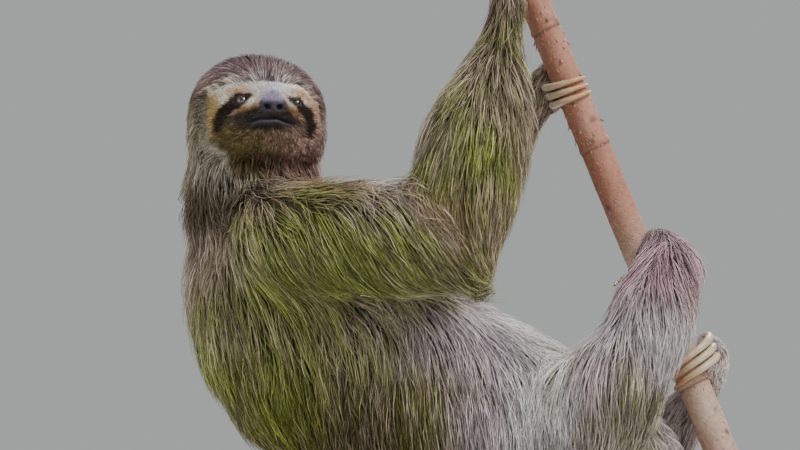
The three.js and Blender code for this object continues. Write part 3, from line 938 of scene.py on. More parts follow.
def body_colour(points):
    """Colours of the body's hair before algae, from places in metres."""
    x, y, z = points.T / MM
    colour = tint(TAN, LILAC, ramp(-125.0, -5.0, x) * (1.0 - ramp(250.0, 300.0, z)))
    # Painted shade: the trunk's underside is darkened towards umber below about 250 mm, most on the left.
    underside_shade = mix(0.12, 0.95, ramp(5.0, -60.0, x)) + 0.4 * ramp(50.0, 75.0, x)
    colour = tint(colour, UMBER, ramp(252.0, 208.0, z) * underside_shade)
    soft_side = ramp(-12.0, 12.0, x) * ramp(66.0, 46.0, x) * ramp(240.0, 215.0, z) * ramp(160.0, 180.0, z)
    colour = tint(colour, SUNLIT, 0.6 * soft_side)
    elbow = ramp(46.0, 18.0, np.hypot(x + 20.0, z - 286.0)) * ramp(-30.0, -50.0, y)
    colour = tint(colour, UMBER, 0.6 * elbow)
    colour = tint(colour, FOOT, ramp(248.0, 280.0, z) * ramp(80.0, 110.0, x))
    colour = tint(colour, WRIST, ramp(425.0, 470.0, z) * ramp(-30.0, 0.0, x))
    # Painted shade: the hollow by the neck is darkened to a deep umber.
    hollow_shade = ramp(358.0, 346.0, z) * ramp(312.0, 324.0, z) * ramp(-164.0, -180.0, x)
    colour = tint(colour, np.array(UMBER) * 0.4, 0.8 * hollow_shade)
    swath = ramp(340.0, 350.0, z) * ramp(-208.0, -194.0, x) * ramp(-158.0, -172.0, x)
    colour = tint(colour, SWATH, 0.5 * swath)
    fringe = ramp(321.0, 329.0, z) * ramp(354.0, 347.0, z) * ramp(-172.0, -150.0, x) * ramp(0.0, -30.0, x)
    colour = tint(colour, FRINGE, 0.8 * fringe)
    # Painted sunlight: paler from the top of the arm upwards.
    lit_arm_top = ramp(316.0, 326.0, z) * ramp(-128.0, -104.0, x) * ramp(-44.0, -66.0, x)
    colour = tint(colour, PALE, 0.5 * lit_arm_top)
    ridge = z - 254.0 + 0.586 * (x + 16.0)  # height above the line of the belly's upper edge
    lit = 0.9 * ramp(-20.0, -4.0, ridge) * ramp(16.0, 8.0, ridge)
    colour = tint(colour, SUNLIT, lit * ramp(-30.0, 0.0, x) * ramp(75.0, 50.0, x))
    shank = 0.55 * ramp(30.0, 10.0, np.abs(z - 244.0)) * ramp(90.0, 112.0, x) * ramp(140.0, 128.0, x)
    colour = tint(colour, SUNLIT, shank)
    far_foot = np.linalg.norm(points / MM - np.array([156.0, 14.0, 203.0]), axis=1)
    colour = tint(colour, FAR_FOOT, ramp(34.0, 20.0, far_foot) * ramp(-8.0, 0.0, y))
    colour = tint(colour, np.array(TAN) * 0.6, ramp(150.0, 90.0, z) * 0.6)
    return colour * (1.0 + 0.14 * noise(points, 0.03, 11) + 0.1 * noise(points, 0.012, 12))[:, None]


def marking(points, head, algae):
    """Colour of the skin or of a hair's root at any place."""
    local = to_head(points)
    colour = tint(body_colour(points), GREEN, 0.45 * algae)
    return tint(colour, face_colour(local), ramp(0.35, 0.65, head))

# %% [markdown]
# ## The lie of the coat
#
# Hair has a direction everywhere, called its lie.  A sloth's is parted along the
# belly and falls towards the back, because the animal lives upside down.  On the
# head it runs away from the nose, and on the arm it runs to the point of the
# elbow.  The lie is stored on the skin's points and smoothed, as when combing.

# %% Comb the skin
DOWN = np.array([0.0, 0.0, -1.0])
ELBOW_POINT = np.array([3.0, -84.0, 261.0]) * MM
FINE = 0.74  # share of the table's lock width

local = to_head(skin_points)
side, front, up = local.T
from_nose = unit(local - np.array([0.0, 54.0, -5.0]))
above = up + 8.0  # above the point that hair on the head runs away from
ring = np.maximum(np.hypot(side, above), 1.0)
outward = np.stack([side, -0.5 * ring, above], axis=1) / ring[:, None]
inward = above - 20.0 * ramp(-12.0, -32.0, side) * ramp(8.0, -12.0, up)  # the swath under the cheek
round_face = np.stack([np.sign(side) * inward, -0.2 * ring, -np.abs(side)], axis=1) / ring[:, None]
from_top = np.degrees(np.arctan2(np.abs(side), above))
head_lie = tint(outward, round_face, 0.92 * ramp(12.0, 62.0, from_top))
head_lie = tint(from_nose, unit(head_lie), ramp(1.0, -7.0, face_reach(local))) @ HEAD_AXES
falls = 1.3 * ramp(8.0, -22.0, front) + 1.2 * ramp(90.0, 140.0, from_top) * ramp(-12.0, 8.0, side)
falls += 0.5 * ramp(130.0, 170.0, from_top)
head_lie = unit(head_lie + falls[:, None] * DOWN)
on_head = ramp(0.35, 0.65, head_share)
lie = tint(unit(values[:, LIE]), head_lie, on_head)
to_elbow = ELBOW_POINT - skin_points
elbow_near = ramp(95.0, 25.0, np.linalg.norm(to_elbow, axis=1) / MM)
elbow_near *= ramp(-35.0, -50.0, skin_points[:, 1] / MM) * ramp(250.0, 262.0, skin_points[:, 2] / MM)
lie = tint(lie, unit(to_elbow), 0.85 * elbow_near)
for _ in range(5):
    lie = flat_to(skin_normals, relax(flat_to(skin_normals, lie), skin_edges, 2, 0.6))

reach_in = face_reach(local)
short = ramp(-6.0, 1.5, reach_in + 1.5 * noise(local, 5.0, 8)) * ramp(0.5, 0.8, head_share)
ruff = on_head * ramp(75.0, 110.0, from_top) * ramp(1.0, -5.0, reach_in)
rim_hair = on_head * (1.0 - ruff)
length = mix(values[:, LENGTH], 6.5 + 9.0 * ramp(1.0, -16.0, reach_in), rim_hair)
length = mix(length, 32.0, ruff * ramp(24.0, 32.0, np.abs(side) + 0.4 * np.maximum(-front, 0.0)))
length = np.maximum(length, 19.0 * ruff)
width = FINE * mix(mix(values[:, WIDTH], 0.62 + 0.25 * ramp(0.0, -14.0, reach_in), rim_hair), 1.05, ruff)
x, y, z = skin_points.T / MM
neck_fill = ramp(322.0, 334.0, z) * ramp(368.0, 354.0, z) * ramp(-110.0, -122.0, x) * (1.0 - on_face)
depth = values[:, DEPTH] + 4.0 * neck_fill + 4.0 * ruff * ramp(36.0, 44.0, np.abs(side))
depth += 5.0 * ruff * ramp(-36.0, -46.0, side) * bump(up, -16.0, 12.0)
depth += 6.0 * ruff * ramp(26.0, 38.0, side) * bump(up, -38.0, 12.0)
# free is 1 where locks hang instead of lying down
free = ruff * ramp(85.0, 115.0, from_top) * (1.0 - 0.85 * ramp(-6.0, -22.0, side))
algae = np.clip(values[:, ALGAE], 0.0, 1.0)
palm = ramp(0.5, 4.0, perch_clearance(skin_points))
print("combed", len(lie), "points")

# %% [markdown]
# ## Paint the skin
#
# The skin shows between the locks, so it wears the colour of the coat, darker
# because light is lost between hairs.  Bare leather and the rims of the lids
# keep their own dark colours.

# %% Paint
leather = leather_share(side, up) * on_face * ramp(30.0, 36.0, front)
skin_colour = marking(skin_points, head_share, algae)
coat_shade = mix(0.34, 0.9, ramp(0.3, 1.0, short) * on_face)
skin_shown = tint(skin_colour * coat_shade[:, None], leather_colour(side, up), leather)
skin_shown = tint(skin_shown, LID_RIM, rim_shade)
paint(skin_mesh, skin_shown)
skin = linked("skin", skin_mesh)
skin_mesh.shade_smooth()
finish_piece(skin, "coat", SKIN, *FLESH)

# %% [markdown]
# ## One lock of hair
#
# A lock is a thin closed spike with three sides: three rings of three points and
# a tip, which is only sixteen triangles.  Tens of thousands of them stay light,
# and smooth shading makes them look round.  Each lock also gets its own tiny
# patch on a map, at the place of its root, so that it can carry a baked colour.

# %% Build many locks as one mesh
LOCK_STOPS = np.array([0.0, 0.34, 0.68, 1.0])
PATCH = 0.003


def spike(rings):
    """Faces of one lock and the map places of their corners, for a number of rings."""
    across = (0.5, 0.0, 1.0)
    quads, caps, quad_map, cap_map = [], [], [], []
    for ring in range(rings - 1):
        low, high = ring / rings, (ring + 1) / rings
        for a, b in ((0, 1), (1, 2), (2, 0)):
            quads.append((3 * ring + a, 3 * ring + b, 3 * ring + 3 + b, 3 * ring + 3 + a))
            quad_map.append(((across[a], low), (across[b], low), (across[b], high), (across[a], high)))
    last, top = 3 * (rings - 1), (rings - 1) / rings
    for a, b in ((0, 1), (1, 2), (2, 0)):
        caps.append((last + a, last + b, 3 * rings))
        cap_map.append(((across[a], top), (across[b], top), (0.5, 1.0)))
    caps.append((2, 1, 0))
    cap_map.append(((1.0, 0.0), (0.0, 0.0), (0.5, 0.2)))
    return np.array(quads), np.array(caps), np.array(quad_map), np.array(cap_map)


def write_map(mesh, roots_on_map, rings, one_by_one=False):
    """Gives every lock its patch on the map that a bake uses.

    The mesh lists all quads first and then all triangles, or one lock after another.
    """
    _, _, quad_map, cap_map = spike(rings)
    corner = np.clip(roots_on_map - PATCH / 2, 0.0, 1.0 - PATCH)[:, None]
    quads = corner + PATCH * quad_map.reshape(1, -1, 2)
    caps = corner + PATCH * cap_map.reshape(1, -1, 2)
    layer = mesh.uv_layers.new(name="OFBake")
    if one_by_one:
        places = np.hstack([quads, caps]).ravel()
    else:
        places = np.concatenate([quads.ravel(), caps.ravel()])
    layer.uv.foreach_set("vector", places.astype(np.float32))


def lock_mesh(name, path, ups, widths, colours, roots_on_map):
    """All locks of one part of the coat, from their paths, as one closed mesh."""
    count = len(path)
    heading = unit(np.diff(path, axis=1))
    heading = np.concatenate([heading[:, :1], unit(heading[:, :-1] + heading[:, 1:])], axis=1)
    rise = flat_to(heading, ups[:, :3])
    across = np.cross(rise, heading)
    profile = np.array([0.75, 1.0, 0.78])
    half = (widths[:, None] * profile[None])[..., None] * 0.5 * MM
    rings = [
        path[:, :3] + half * (across * math.cos(a) + 0.7 * rise * math.sin(a))
        for a in np.radians((90, 210, 330))
    ]
    points = np.concatenate([np.stack(rings, axis=2).reshape(count, 9, 3), path[:, 3:]], axis=1)
    quads, caps, _, _ = spike(3)
    first = (np.arange(count) * 10)[:, None, None]
    piece = mesh_object(
        name, points.reshape(-1, 3), (first + quads).reshape(-1, 4), (first + caps).reshape(-1, 3)
    )
    write_map(piece.data, roots_on_map, 3)
    # Painted shade and light: each lock is darker at its root, where light is lost among the hairs, and
    # brighter towards its tip.
    tone = np.repeat(np.array([0.42, 0.85, 1.08, 1.25]), (3, 3, 3, 1))
    paint(piece.data, (colours[:, None] * tone[None, :, None]).reshape(-1, 3))
    return piece


# %% [markdown]
# ## Where locks stand and how they fall
#
# Roots are strewn over the skin, closer together where locks are short.  Each
# lock then walks over the skin in a few steps: it follows the lie, rises to its
# own height in the coat, and sags a little where the body curves away.  Hair
# that is often wet gathers into pointed clumps, so every lock is also drawn
# towards the path of a leading lock near it.

# %% Walk along the coat
walk_tree = tree_of(skin_points)


def comb(roots, normals, headings, reach, height, slack, cling):
    """Paths of hairs and the upward direction of the coat along them."""
    path, ups = [roots], [normals]
    here, heading = roots, headings
    for before, after in zip(LOCK_STOPS[:-1], LOCK_STOPS[1:]):
        here = here + heading * ((after - before) * reach * MM)[:, None]
        index = nearest(walk_tree, here)
        normal = skin_normals[index]
        level = dots(here - skin_points[index], normal)[:, 0] / MM
        wanted = height * (1.0 - (1.0 - after) ** 2)
        level_now = np.clip(level, wanted, wanted + slack * after)
        here = here + normal * ((level_now - level) * MM)[:, None]
        heading = 0.5 * heading + 0.5 * lie[index] + ((0.9 - cling)[:, None] * 1.1) * DOWN
        heading = unit(heading - cling[:, None] * normal * dots(heading, normal))
        path.append(here)
        ups.append(normal)
    return np.stack(path, axis=1), np.stack(ups, axis=1)


def strewn(faces, amount, maps):
    """Random roots on triangles: corners, weights in them, and places on the map."""
    chance = areas(skin_points[faces]) / MM**2 * amount[faces].mean(axis=1)
    pick, u, v = random_spots(chance, int(chance.sum()))
    weights = np.stack([1.0 - u - v, u, v], axis=1)[..., None]
    return faces[pick], weights, (maps[pick] * weights).sum(axis=1)


def unwrapped(faces):
    """Places of triangles' corners on an unwrap of that part of the skin."""
    patch = mesh_object("patch", skin_points, faces)
    patch.data.uv_layers.new(name="unwrap")
    bpy.ops.object.select_all(action="DESELECT")
    patch.select_set(True)
    bpy.context.view_layer.objects.active = patch
    bpy.ops.object.mode_set(mode="EDIT")
    bpy.ops.mesh.select_all(action="SELECT")
    bpy.ops.uv.smart_project(angle_limit=1.15, island_margin=0.004, scale_to_bounds=True)
    bpy.ops.object.mode_set(mode="OBJECT")
    places = numbers(patch.data.uv_layers["unwrap"].uv, "vector", 2).reshape(-1, 3, 2)
    bpy.data.objects.remove(patch)
    return places


# %% Grow one part of the coat
COVER = 4.3  # how many hairs lie over each other
FILLED = 0.62  # share of its length times width that one hair covers
STRAY = 0.09  # share of hairs that cross the others


def at_roots(values_on_skin, corners, weights):
    """Values on the skin's points, at the roots."""
    found = values_on_skin[corners]
    return (found * (weights if found.ndim == 3 else weights[..., 0])).sum(axis=1)


def swayed(path, ups, amount, phase):
    """Paths with a soft sideways wave that grows towards the tip."""
    heading = unit(path[:, 1:] - path[:, :-1])
    heading = np.concatenate([heading[:, :1], heading], axis=1)
    sideways = np.cross(ups, heading)
    wave = np.sin(phase[:, None] + 3.6 * LOCK_STOPS[None]) - np.sin(phase)[:, None]
    return path + sideways * (wave * amount[:, None] * LOCK_STOPS[None])[..., None] * MM


def grow_coat(name, faces, draw, clump):
    """Strews, combs and clumps the locks of one part of the coat."""
    maps = unwrapped(faces)
    amount = COVER / (FILLED * np.maximum(length, 8.0) * width) * (1.0 - short) * palm
    corners, weights, roots_on_map = strewn(faces, amount, maps)
    count = len(corners)
    roots, normals, lies, reach, deep, wide, green, head, hang = (
        at_roots(v, corners, weights)
        for v in (skin_points, skin_normals, lie, length, depth, width, algae, head_share, free)
    )
    normals, lies = unit(normals), unit(lies)
    leads = rng.choice(count, max(8, int(count / (amount[faces].mean() * clump**2))), replace=False)
    swirl = noise(roots, 0.03, 21) * 0.3
    stray = rng.random(count) < STRAY
    jitter = swirl + np.where(stray, 0.5, 0.2) * rng.standard_normal(count)
    headings = unit(lies + np.cross(normals, lies) * jitter[:, None])
    layer = np.where(stray, 0.95 + 0.15 * rng.random(count), 0.3 + 0.7 * rng.random(count))
    cling = 0.75 - 0.6 * hang
    lead_layer = 0.55 + 0.45 * rng.random(len(leads))
    leader = nearest(tree_of(roots[leads]), roots)
    reach = reach * (0.72 + 0.5 * rng.random(count))
    path, ups = comb(roots, normals, headings, reach, deep * layer, 0.35 * deep + 15.0 * hang, cling)
    lead_path, lead_ups = comb(
        roots[leads], normals[leads], headings[leads], reach[leads] * 1.05,
        deep[leads] * lead_layer, 0.4 * deep[leads] + 15.0 * hang[leads], cling[leads],
    )
    lead_path = swayed(lead_path, lead_ups, 0.07 * reach[leads], rng.random(len(leads)) * 6.28)
    pull = draw * (0.35 + 0.65 * rng.random(count)) * np.where(stray, 0.15, 1.0)
    pull = pull[:, None, None] * (LOCK_STOPS[None, :, None] ** 1.3)
    path = path + (lead_path[leader] - path) * pull
    path = swayed(path, ups, reach * (0.01 + 0.05 * rng.random(count) ** 2), rng.random(count) * 6.28)
    colour = marking(roots, head, np.zeros(count))
    moss = green + 0.55 * noise(roots, 0.016, 31) + 0.4 * noise(roots, 0.05, 32)
    moss += 0.2 * rng.standard_normal(count) - 0.16
    level = roots[:, 2] / MM
    moss -= 0.25 * ramp(370.0, 420.0, level)
    moss -= 0.6 * ramp(314.0, 328.0, level) * ramp(356.0, 348.0, level)
    body = 1.0 - ramp(0.35, 0.65, head)
    colour = tint(colour, GREEN, np.clip(moss, 0.0, 0.92) * ramp(0.02, 0.2, green) * body)
    pale = ((rng.random(count) < 0.1) | stray) * body
    pale = pale * (1.0 - 0.75 * ramp(318.0, 328.0, level) * ramp(372.0, 360.0, level))
    paler = np.clip(0.5 * np.array(PALE) + 0.95 * colour, 0.0, 0.92)
    colour = tint(colour, paler, 0.75 * pale * (1.0 - 0.6 * np.clip(green, 0.0, 1.0)))
    tone = np.exp(0.3 * rng.standard_normal(count) + 0.22 * rng.standard_normal(len(leads))[leader])
    colour = colour * np.clip(tone, 0.45, 1.9)[:, None]
    wide = wide * (0.65 + 0.6 * rng.random(count)) * np.where(stray, 0.75, 1.0)
    piece = lock_mesh(name, path, ups, wide, colour, roots_on_map)
    finish_piece(piece, "coat", HAIR)


# %% The parts of the coat
PARTS = {
    # solids it grows on, how strongly locks are drawn together, millimetres between clumps
    "coat_crown": (("head", "nose"), 0.35, 6.0),
    "coat_ruff": (("head", "nose"), 0.6, 8.0),
    "coat_neck": (("neck",), 0.6, 9.0),
    "coat_chest": (("chest",), 0.8, 11.0),
    "coat_belly": (("belly",), 0.5, 9.0),
    "coat_rump": (("rump", "tail"), 0.55, 9.0),
    "coat_arm_right": (("upper_arm_right", "elbow_right"), 0.8, 11.0),
    "coat_forearm_right": (("forearm_right", "hand_right"), 0.65, 9.0),
    "coat_arm_left": (("upper_arm_left", "forearm_left", "hand_left"), 0.6, 9.0),
    "coat_leg_right": (("thigh_right", "shank_right", "foot_right"), 0.6, 9.0),
    "coat_leg_left": (("thigh_left", "shank_left", "foot_left"), 0.55, 9.0),
}
skin_faces = triangles_of(skin_mesh)
face_owner = sample_node[nearest(sample_tree, skin_points[skin_faces].mean(axis=1))]
face_low = from_top[skin_faces].mean(axis=1) > 80.0
HEAD_HALVES = {"coat_crown": ~face_low, "coat_ruff": face_low}
for name, (nodes, draw, clump) in PARTS.items():
    members = np.isin(face_owner, [FLESH.index(node) for node in nodes])
    grow_coat(name, skin_faces[members & HEAD_HALVES.get(name, True)], draw, clump)

# %% [markdown]
# ## Short hair on the face
#
# The face's hair is only a few millimetres long and lies flat.  Here Geometry
# Nodes do the work: points are strewn over the face's skin, one tiny bent hair
# is set on each, turned to the lie, and all are made real.  The points carry the
# skin's colour along, so the mask's pattern shows in the hair too.


# %% A tree that strews
def product(tree, *factors):
    """The product of two numbers from sockets."""
    node = add(tree, "ShaderNodeMath", {"operation": "MULTIPLY"})
    for socket, factor in zip(node.inputs, factors):
        tree.links.new(factor, socket)
    return node.outputs[0]


def named(tree, name, kind):
    """A named attribute as an output socket."""
    node = add(tree, "GeometryNodeInputNamedAttribute", {"data_type": kind}, Name=name)
    return in_use(node.outputs, "Attribute")


def strewing_tree(name, loose, tip_range):
    """Geometry Nodes that strew a shape over a surface, turned to the lie stored on it."""
    tree = bpy.data.node_groups.new(name, "GeometryNodeTree")
    face = tree.interface
    face.new_socket("Geometry", in_out="INPUT", socket_type="NodeSocketGeometry")
    for label, kind in (
        ("Shape", "Object"), ("Density", "Float"), ("Size", "Float"), ("Seed", "Int"),
        ("Finish", "Material"),
    ):
        face.new_socket(label, in_out="INPUT", socket_type=f"NodeSocket{kind}")
    face.new_socket("Geometry", in_out="OUTPUT", socket_type="NodeSocketGeometry")
    given = tree.nodes.new("NodeGroupInput").outputs
    roots = add(
        tree, "GeometryNodeDistributePointsOnFaces", Mesh=given["Geometry"], Seed=given["Seed"],
        Density=product(tree, named(tree, "amount", "FLOAT"), given["Density"]),
    )
    upright = add(
        tree, "FunctionNodeAlignRotationToVector", {"axis": "Z"}, Vector=roots.outputs["Normal"]
    )
    combed = add(
        tree, "FunctionNodeAlignRotationToVector", {"axis": "X", "pivot_axis": "Z"},
        Rotation=upright.outputs["Rotation"], Vector=named(tree, "lie", "FLOAT_VECTOR"),
    )
    sway = add(
        tree, "FunctionNodeRandomValue", {"data_type": "FLOAT_VECTOR"}, Seed=given["Seed"],
        Min=(-0.3 * loose, -0.6 * loose, -loose), Max=(0.3 * loose, 0.3 * loose, loose),
    )
    turned = add(
        tree, "FunctionNodeRotateRotation", {"rotation_space": "LOCAL"},
        Rotation=combed.outputs["Rotation"], Rotate_By=in_use(sway.outputs, "Value"),
    )
    grown = add(
        tree, "FunctionNodeRandomValue", {"data_type": "FLOAT"}, Seed=given["Seed"],
        Min=tip_range[0], Max=tip_range[1],
    )
    own_size = product(tree, named(tree, "size", "FLOAT"), given["Size"])
    shape = add(tree, "GeometryNodeObjectInfo", {"transform_space": "ORIGINAL"}, Object=given["Shape"])
    placed = add(
        tree, "GeometryNodeInstanceOnPoints", Points=roots.outputs["Points"],
        Instance=shape.outputs["Geometry"], Rotation=turned.outputs["Rotation"],
        Scale=product(tree, own_size, in_use(grown.outputs, "Value")),
    )
    real = add(tree, "GeometryNodeRealizeInstances", Geometry=placed.outputs["Instances"])
    finish = add(
        tree, "GeometryNodeSetMaterial", Geometry=real.outputs["Geometry"], Material=given["Finish"]
    )
    result = tree.nodes.new("NodeGroupOutput")
    tree.links.new(finish.outputs["Geometry"], result.inputs["Geometry"])
    return tree


def strew(name, surface, tree, **inputs):
    """Runs a strewing tree on a surface object and returns the result as a plain mesh object."""
    modifier = surface.modifiers.new("strew", "NODES")
    modifier.node_group = tree
    for socket in tree.interface.items_tree:
        if socket.in_out == "INPUT" and socket.name in inputs:
            modifier[socket.identifier] = inputs[socket.name]
    graph = bpy.context.evaluated_depsgraph_get()
    mesh = bpy.data.meshes.new_from_object(surface.evaluated_get(graph))
    surface.modifiers.remove(modifier)
    mesh.name = name
    mesh.shade_smooth()
    return linked(name, mesh)


# %% One short hair
def short_hair_shape():
    """A bent hair one unit long, on its way along +X, from three rings' worth of points."""
    path = np.array([[0.0, 0.0, -0.04], [0.5, 0.0, 0.16], [1.0, 0.0, 0.2]])
    half = np.array([0.05, 0.055])
    points = []
    for centre, reach in zip(path[:2], half):
        for angle in np.radians((90, 210, 330)):
            points.append(centre + np.array([0.0, reach * math.cos(angle), 0.7 * reach * math.sin(angle)]))
    points.append(path[2])
    quads, caps, _, _ = spike(2)
    return mesh_object("short_hair_shape", np.array(points), quads, caps)


hair_shape = short_hair_shape()
hair_tree = strewing_tree("face_hair", 0.32, (0.7, 1.35))
HAIR_POINTS = 7
FACE_PARTS = {"face_hair_brow": (-10.0, 60.0, 3.9, 3.3), "face_hair_chin": (-60.0, -10.0, 5.2, 2.5)}
print("one short hair:", len(hair_shape.data.vertices), "points")

# %% Strew it over the face
bare = np.clip(leather + rim_shade * 1.5, 0.0, 1.0)
face_up = up[skin_faces].mean(axis=1)
hairy = (short[skin_faces].max(axis=1) > 0.02) & (head_share[skin_faces].min(axis=1) > 0.4)
for name, (low, high, size, density) in FACE_PARTS.items():
    faces = skin_faces[hairy & (face_up >= low) & (face_up < high)]
    maps = unwrapped(faces)
    patch = mesh_object("patch", skin_points, faces)
    layer = patch.data.uv_layers.new(name="unwrap")
    layer.uv.foreach_set("vector", maps.astype(np.float32).ravel())
    paint(patch.data, skin_colour)
    give(patch.data, "lie", lie)
    give(patch.data, "amount", short * (1.0 - bare))
    snout = ramp(26.0, 8.0, np.hypot(side, up + 6.0))
    near_eye = mix(0.5, 1.0, ramp(5.0, 11.0, from_eye(side, up)))
    give(patch.data, "size", (1.0 - 0.45 * snout) * near_eye)
    piece = strew(
        name, patch, hair_tree,
        Shape=hair_shape, Density=density / MM**2, Size=size * MM, Seed=5, Finish=SHORT_HAIR,
    )
    bpy.data.objects.remove(patch)
    mesh = piece.data
    count = len(mesh.vertices) // HAIR_POINTS
    place = mesh.attributes["unwrap"]
    print(name, count, "hairs; map stored as", place.data_type, "on", place.domain)
    roots_on_map = numbers(place.data, "vector", 2).reshape(count, -1, 2)[:, 0]
    colour = numbers(mesh.attributes["Marking"].data, "color", 4)[::HAIR_POINTS, :3]
    tone = np.exp(0.24 * rng.standard_normal(count))
    shade = np.repeat(np.array([0.62, 1.0, 1.2]), (3, 3, 1))
    painted = colour[:, None] * tone[:, None, None] * shade[None, :, None]
    drop(mesh, "unwrap", "lie", "amount", "size")
    write_map(mesh, roots_on_map, 2, one_by_one=True)
    paint(mesh, painted.reshape(-1, 3))
    finish_piece(piece, "face", SHORT_HAIR)
bpy.data.objects.remove(hair_shape)

# %% [markdown]
# ## Eyes
#
# A sloth's eye is a small round ball with a brown iris and a pupil like a pin
# hole, and it is wet.  A sphere of rings round the looking direction lets the
# iris be painted ring by ring.  The front bulges a little, as a cornea does.

# %% Make the eyeballs
IRIS, IRIS_EDGE = (0.1, 0.07, 0.06), (0.035, 0.022, 0.018)
PUPIL, EYE_WHITE = (0.004, 0.003, 0.003), (0.045, 0.03, 0.028)
IRIS_RADIUS, PUPIL_RADIUS, CORNEA = 3.9, 1.5, 0.45


def eyeball(name):
    """A ball of rings whose pole looks out, with iris and pupil painted on."""
    centre, look, across, rise = eye_frame(name)
    turns, steps = 48, 40
    polar = np.linspace(0.0, np.pi, steps + 1)[1:-1]
    around = np.linspace(0.0, 2.0 * np.pi, turns, endpoint=False)
    p, a = np.meshgrid(polar, around, indexing="ij")
    off = EYE_RADIUS * np.sin(p)
    bulge = CORNEA * np.clip(1.0 - (off / IRIS_RADIUS) ** 2, 0.0, 1.0) * (p < 1.2)
    out = EYE_RADIUS * np.cos(p) + bulge
    ring_points = (
        centre + (off * np.cos(a))[..., None] * across + (off * np.sin(a))[..., None] * rise
        + out[..., None] * look
    ).reshape(-1, 3)
    poles = np.array([centre + look * (EYE_RADIUS + CORNEA), centre - look * EYE_RADIUS])
    local = np.vstack([ring_points, poles])
    last = (steps - 2) * turns
    start, end = cap(0, len(local) - 2, turns, False), cap(last, len(local) - 1, turns, True)
    quads, caps = bands(steps - 1, turns), np.vstack([start, end])
    if np.linalg.det(np.array([across, rise, look])) < 0:
        quads, caps = quads[:, ::-1], caps[:, ::-1]
    piece = mesh_object(f"{name}_ball", from_head(local), quads, caps)
    away = np.concatenate([off.ravel(), [0.0, 0.0]])
    front = np.concatenate([out.ravel(), [EYE_RADIUS, -EYE_RADIUS]]) > 0.0
    rays = 0.75 + 0.35 * np.abs(np.sin(np.concatenate([a.ravel(), [0.0, 0.0]]) * 9.0))
    colour = np.array(IRIS) * rays[:, None]
    colour = tint(colour, IRIS_EDGE, ramp(2.9, IRIS_RADIUS, away))
    colour = tint(colour, PUPIL, 1.0 - ramp(PUPIL_RADIUS - 0.3, PUPIL_RADIUS, away))
    colour = tint(colour, EYE_WHITE, np.where(front, ramp(IRIS_RADIUS - 0.1, IRIS_RADIUS + 0.2, away), 1.0))
    paint(piece.data, colour)
    finish_piece(piece, "eye", EYE, name)


for name in eyes:
    eyeball(name)

# %% [markdown]
# ## Claws
#
# The three claws that name the animal are long hooks of horn, cream with darker
# tips, a little flattened from side to side.  Each is a tube along the path that
# the branch's directions give, fine enough to look round.

# %% Make the claws
CLAW_CREAM, CLAW_BROWN, CLAW_TAWNY = (0.6, 0.5, 0.36), (0.3, 0.12, 0.04), (0.55, 0.28, 0.1)
CLAW_STEPS, CLAW_SIDES = 44, 14


def make_claw(limb, number):
    """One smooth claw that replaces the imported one."""
    part = np.linspace(0.0, 1.0, CLAW_STEPS)
    path, thickness = claw_path(limb, number, part)
    piece = tube(path, thickness, CLAW_SIDES, f"horn_{limb}_{number}")
    spots = points_of(piece.data)
    along = np.concatenate([np.repeat(part, CLAW_SIDES), [0.0, 1.0]])
    streak = noise(spots, 0.0035, 41)
    colour = tint(CLAW_CREAM, CLAW_TAWNY, np.clip(ramp(0.35, 0.85, along) + 0.3 * streak, 0.0, 1.0))
    colour = tint(colour, CLAW_BROWN, 0.75 * ramp(0.82, 1.0, along) + 0.25 * ramp(0.12, 0.0, along))
    paint(piece.data, colour * (1.0 + 0.15 * noise(spots, 0.0012, 42))[:, None])
    finish_piece(piece, "claw", HORN, f"claw_{limb}_{number}")


for limb in GRIPS:
    for number in (1, 2, 3):
        make_claw(limb, number)

# %% [markdown]
# ## The branch
#
# It is a young stem of a tree with large leaves: smooth, red-brown above and
# paler below, with a raised ring where each leaf once grew.  A tube of fine rings
# carries these rings and soft dents.  Loose flakes of bark and small warts, the
# lenticels, repeat by the hundred, so Geometry Nodes strew them over it.

# %% Make the stem
BARK_RED, BARK_PINK = (0.31, 0.105, 0.055), (0.45, 0.22, 0.155)
BARK_PALE, BARK_DARK, WOOD = (0.56, 0.42, 0.33), (0.1, 0.05, 0.035), (0.6, 0.43, 0.25)
STEM_STEPS, STEM_SIDES = 420, 56
ROUGH_RADIUS, CORE_RADIUS = 12.0, 7.5  # where noise is read, and inside the cut ends


def ring_scar(along):
    """1 on the ridge of a leaf scar, falling off within a few millimetres."""
    away = (along + RING_SPACING / 2.0) % RING_SPACING - RING_SPACING / 2.0
    return np.exp(-((away / 2.2) ** 2)), away


along, angle = np.meshgrid(
    np.linspace(0.0, perch_length, STEM_STEPS), np.linspace(0.0, 2 * np.pi, STEM_SIDES, endpoint=False),
    indexing="ij",
)
rough_place = beside_perch(along, angle, ROUGH_RADIUS)
scar, scar_away = ring_scar(along + 1.6 * np.sin(angle + 0.7))
radius = PERCH_RADIUS + PERCH_WIDENS * along / perch_length
radius = radius + PERCH_SWELL * scar - 0.35 * bump(scar_away, 3.4, 1.0)
dents = 0.3 * noise(rough_place, 0.03, 51)
dents += 0.12 * noise(rough_place * np.array([3.0, 3.0, 1.0]), 0.012, 52)
radius += dents
radius -= 0.9 * ramp(2.5, 0.0, along) + 0.9 * ramp(perch_length - 2.5, perch_length, along)
rings = beside_perch(along, angle, radius).reshape(-1, 3)
ends = np.array([PERCH_TOP, PERCH_END]) * MM
inner = [beside_perch(np.full(STEM_SIDES, at), angle[0], CORE_RADIUS) for at in (0.0, perch_length)]
stem_points = np.vstack([rings, inner[0], inner[1], ends])
top, bottom, last = len(rings), len(rings) + STEM_SIDES, len(rings) - STEM_SIDES
quads = np.vstack([
    bands(STEM_STEPS, STEM_SIDES), band(top, 0, STEM_SIDES), band(last, bottom, STEM_SIDES),
])
caps = np.vstack([
    cap(top, len(stem_points) - 2, STEM_SIDES, False),
    cap(bottom, len(stem_points) - 1, STEM_SIDES, True),
])
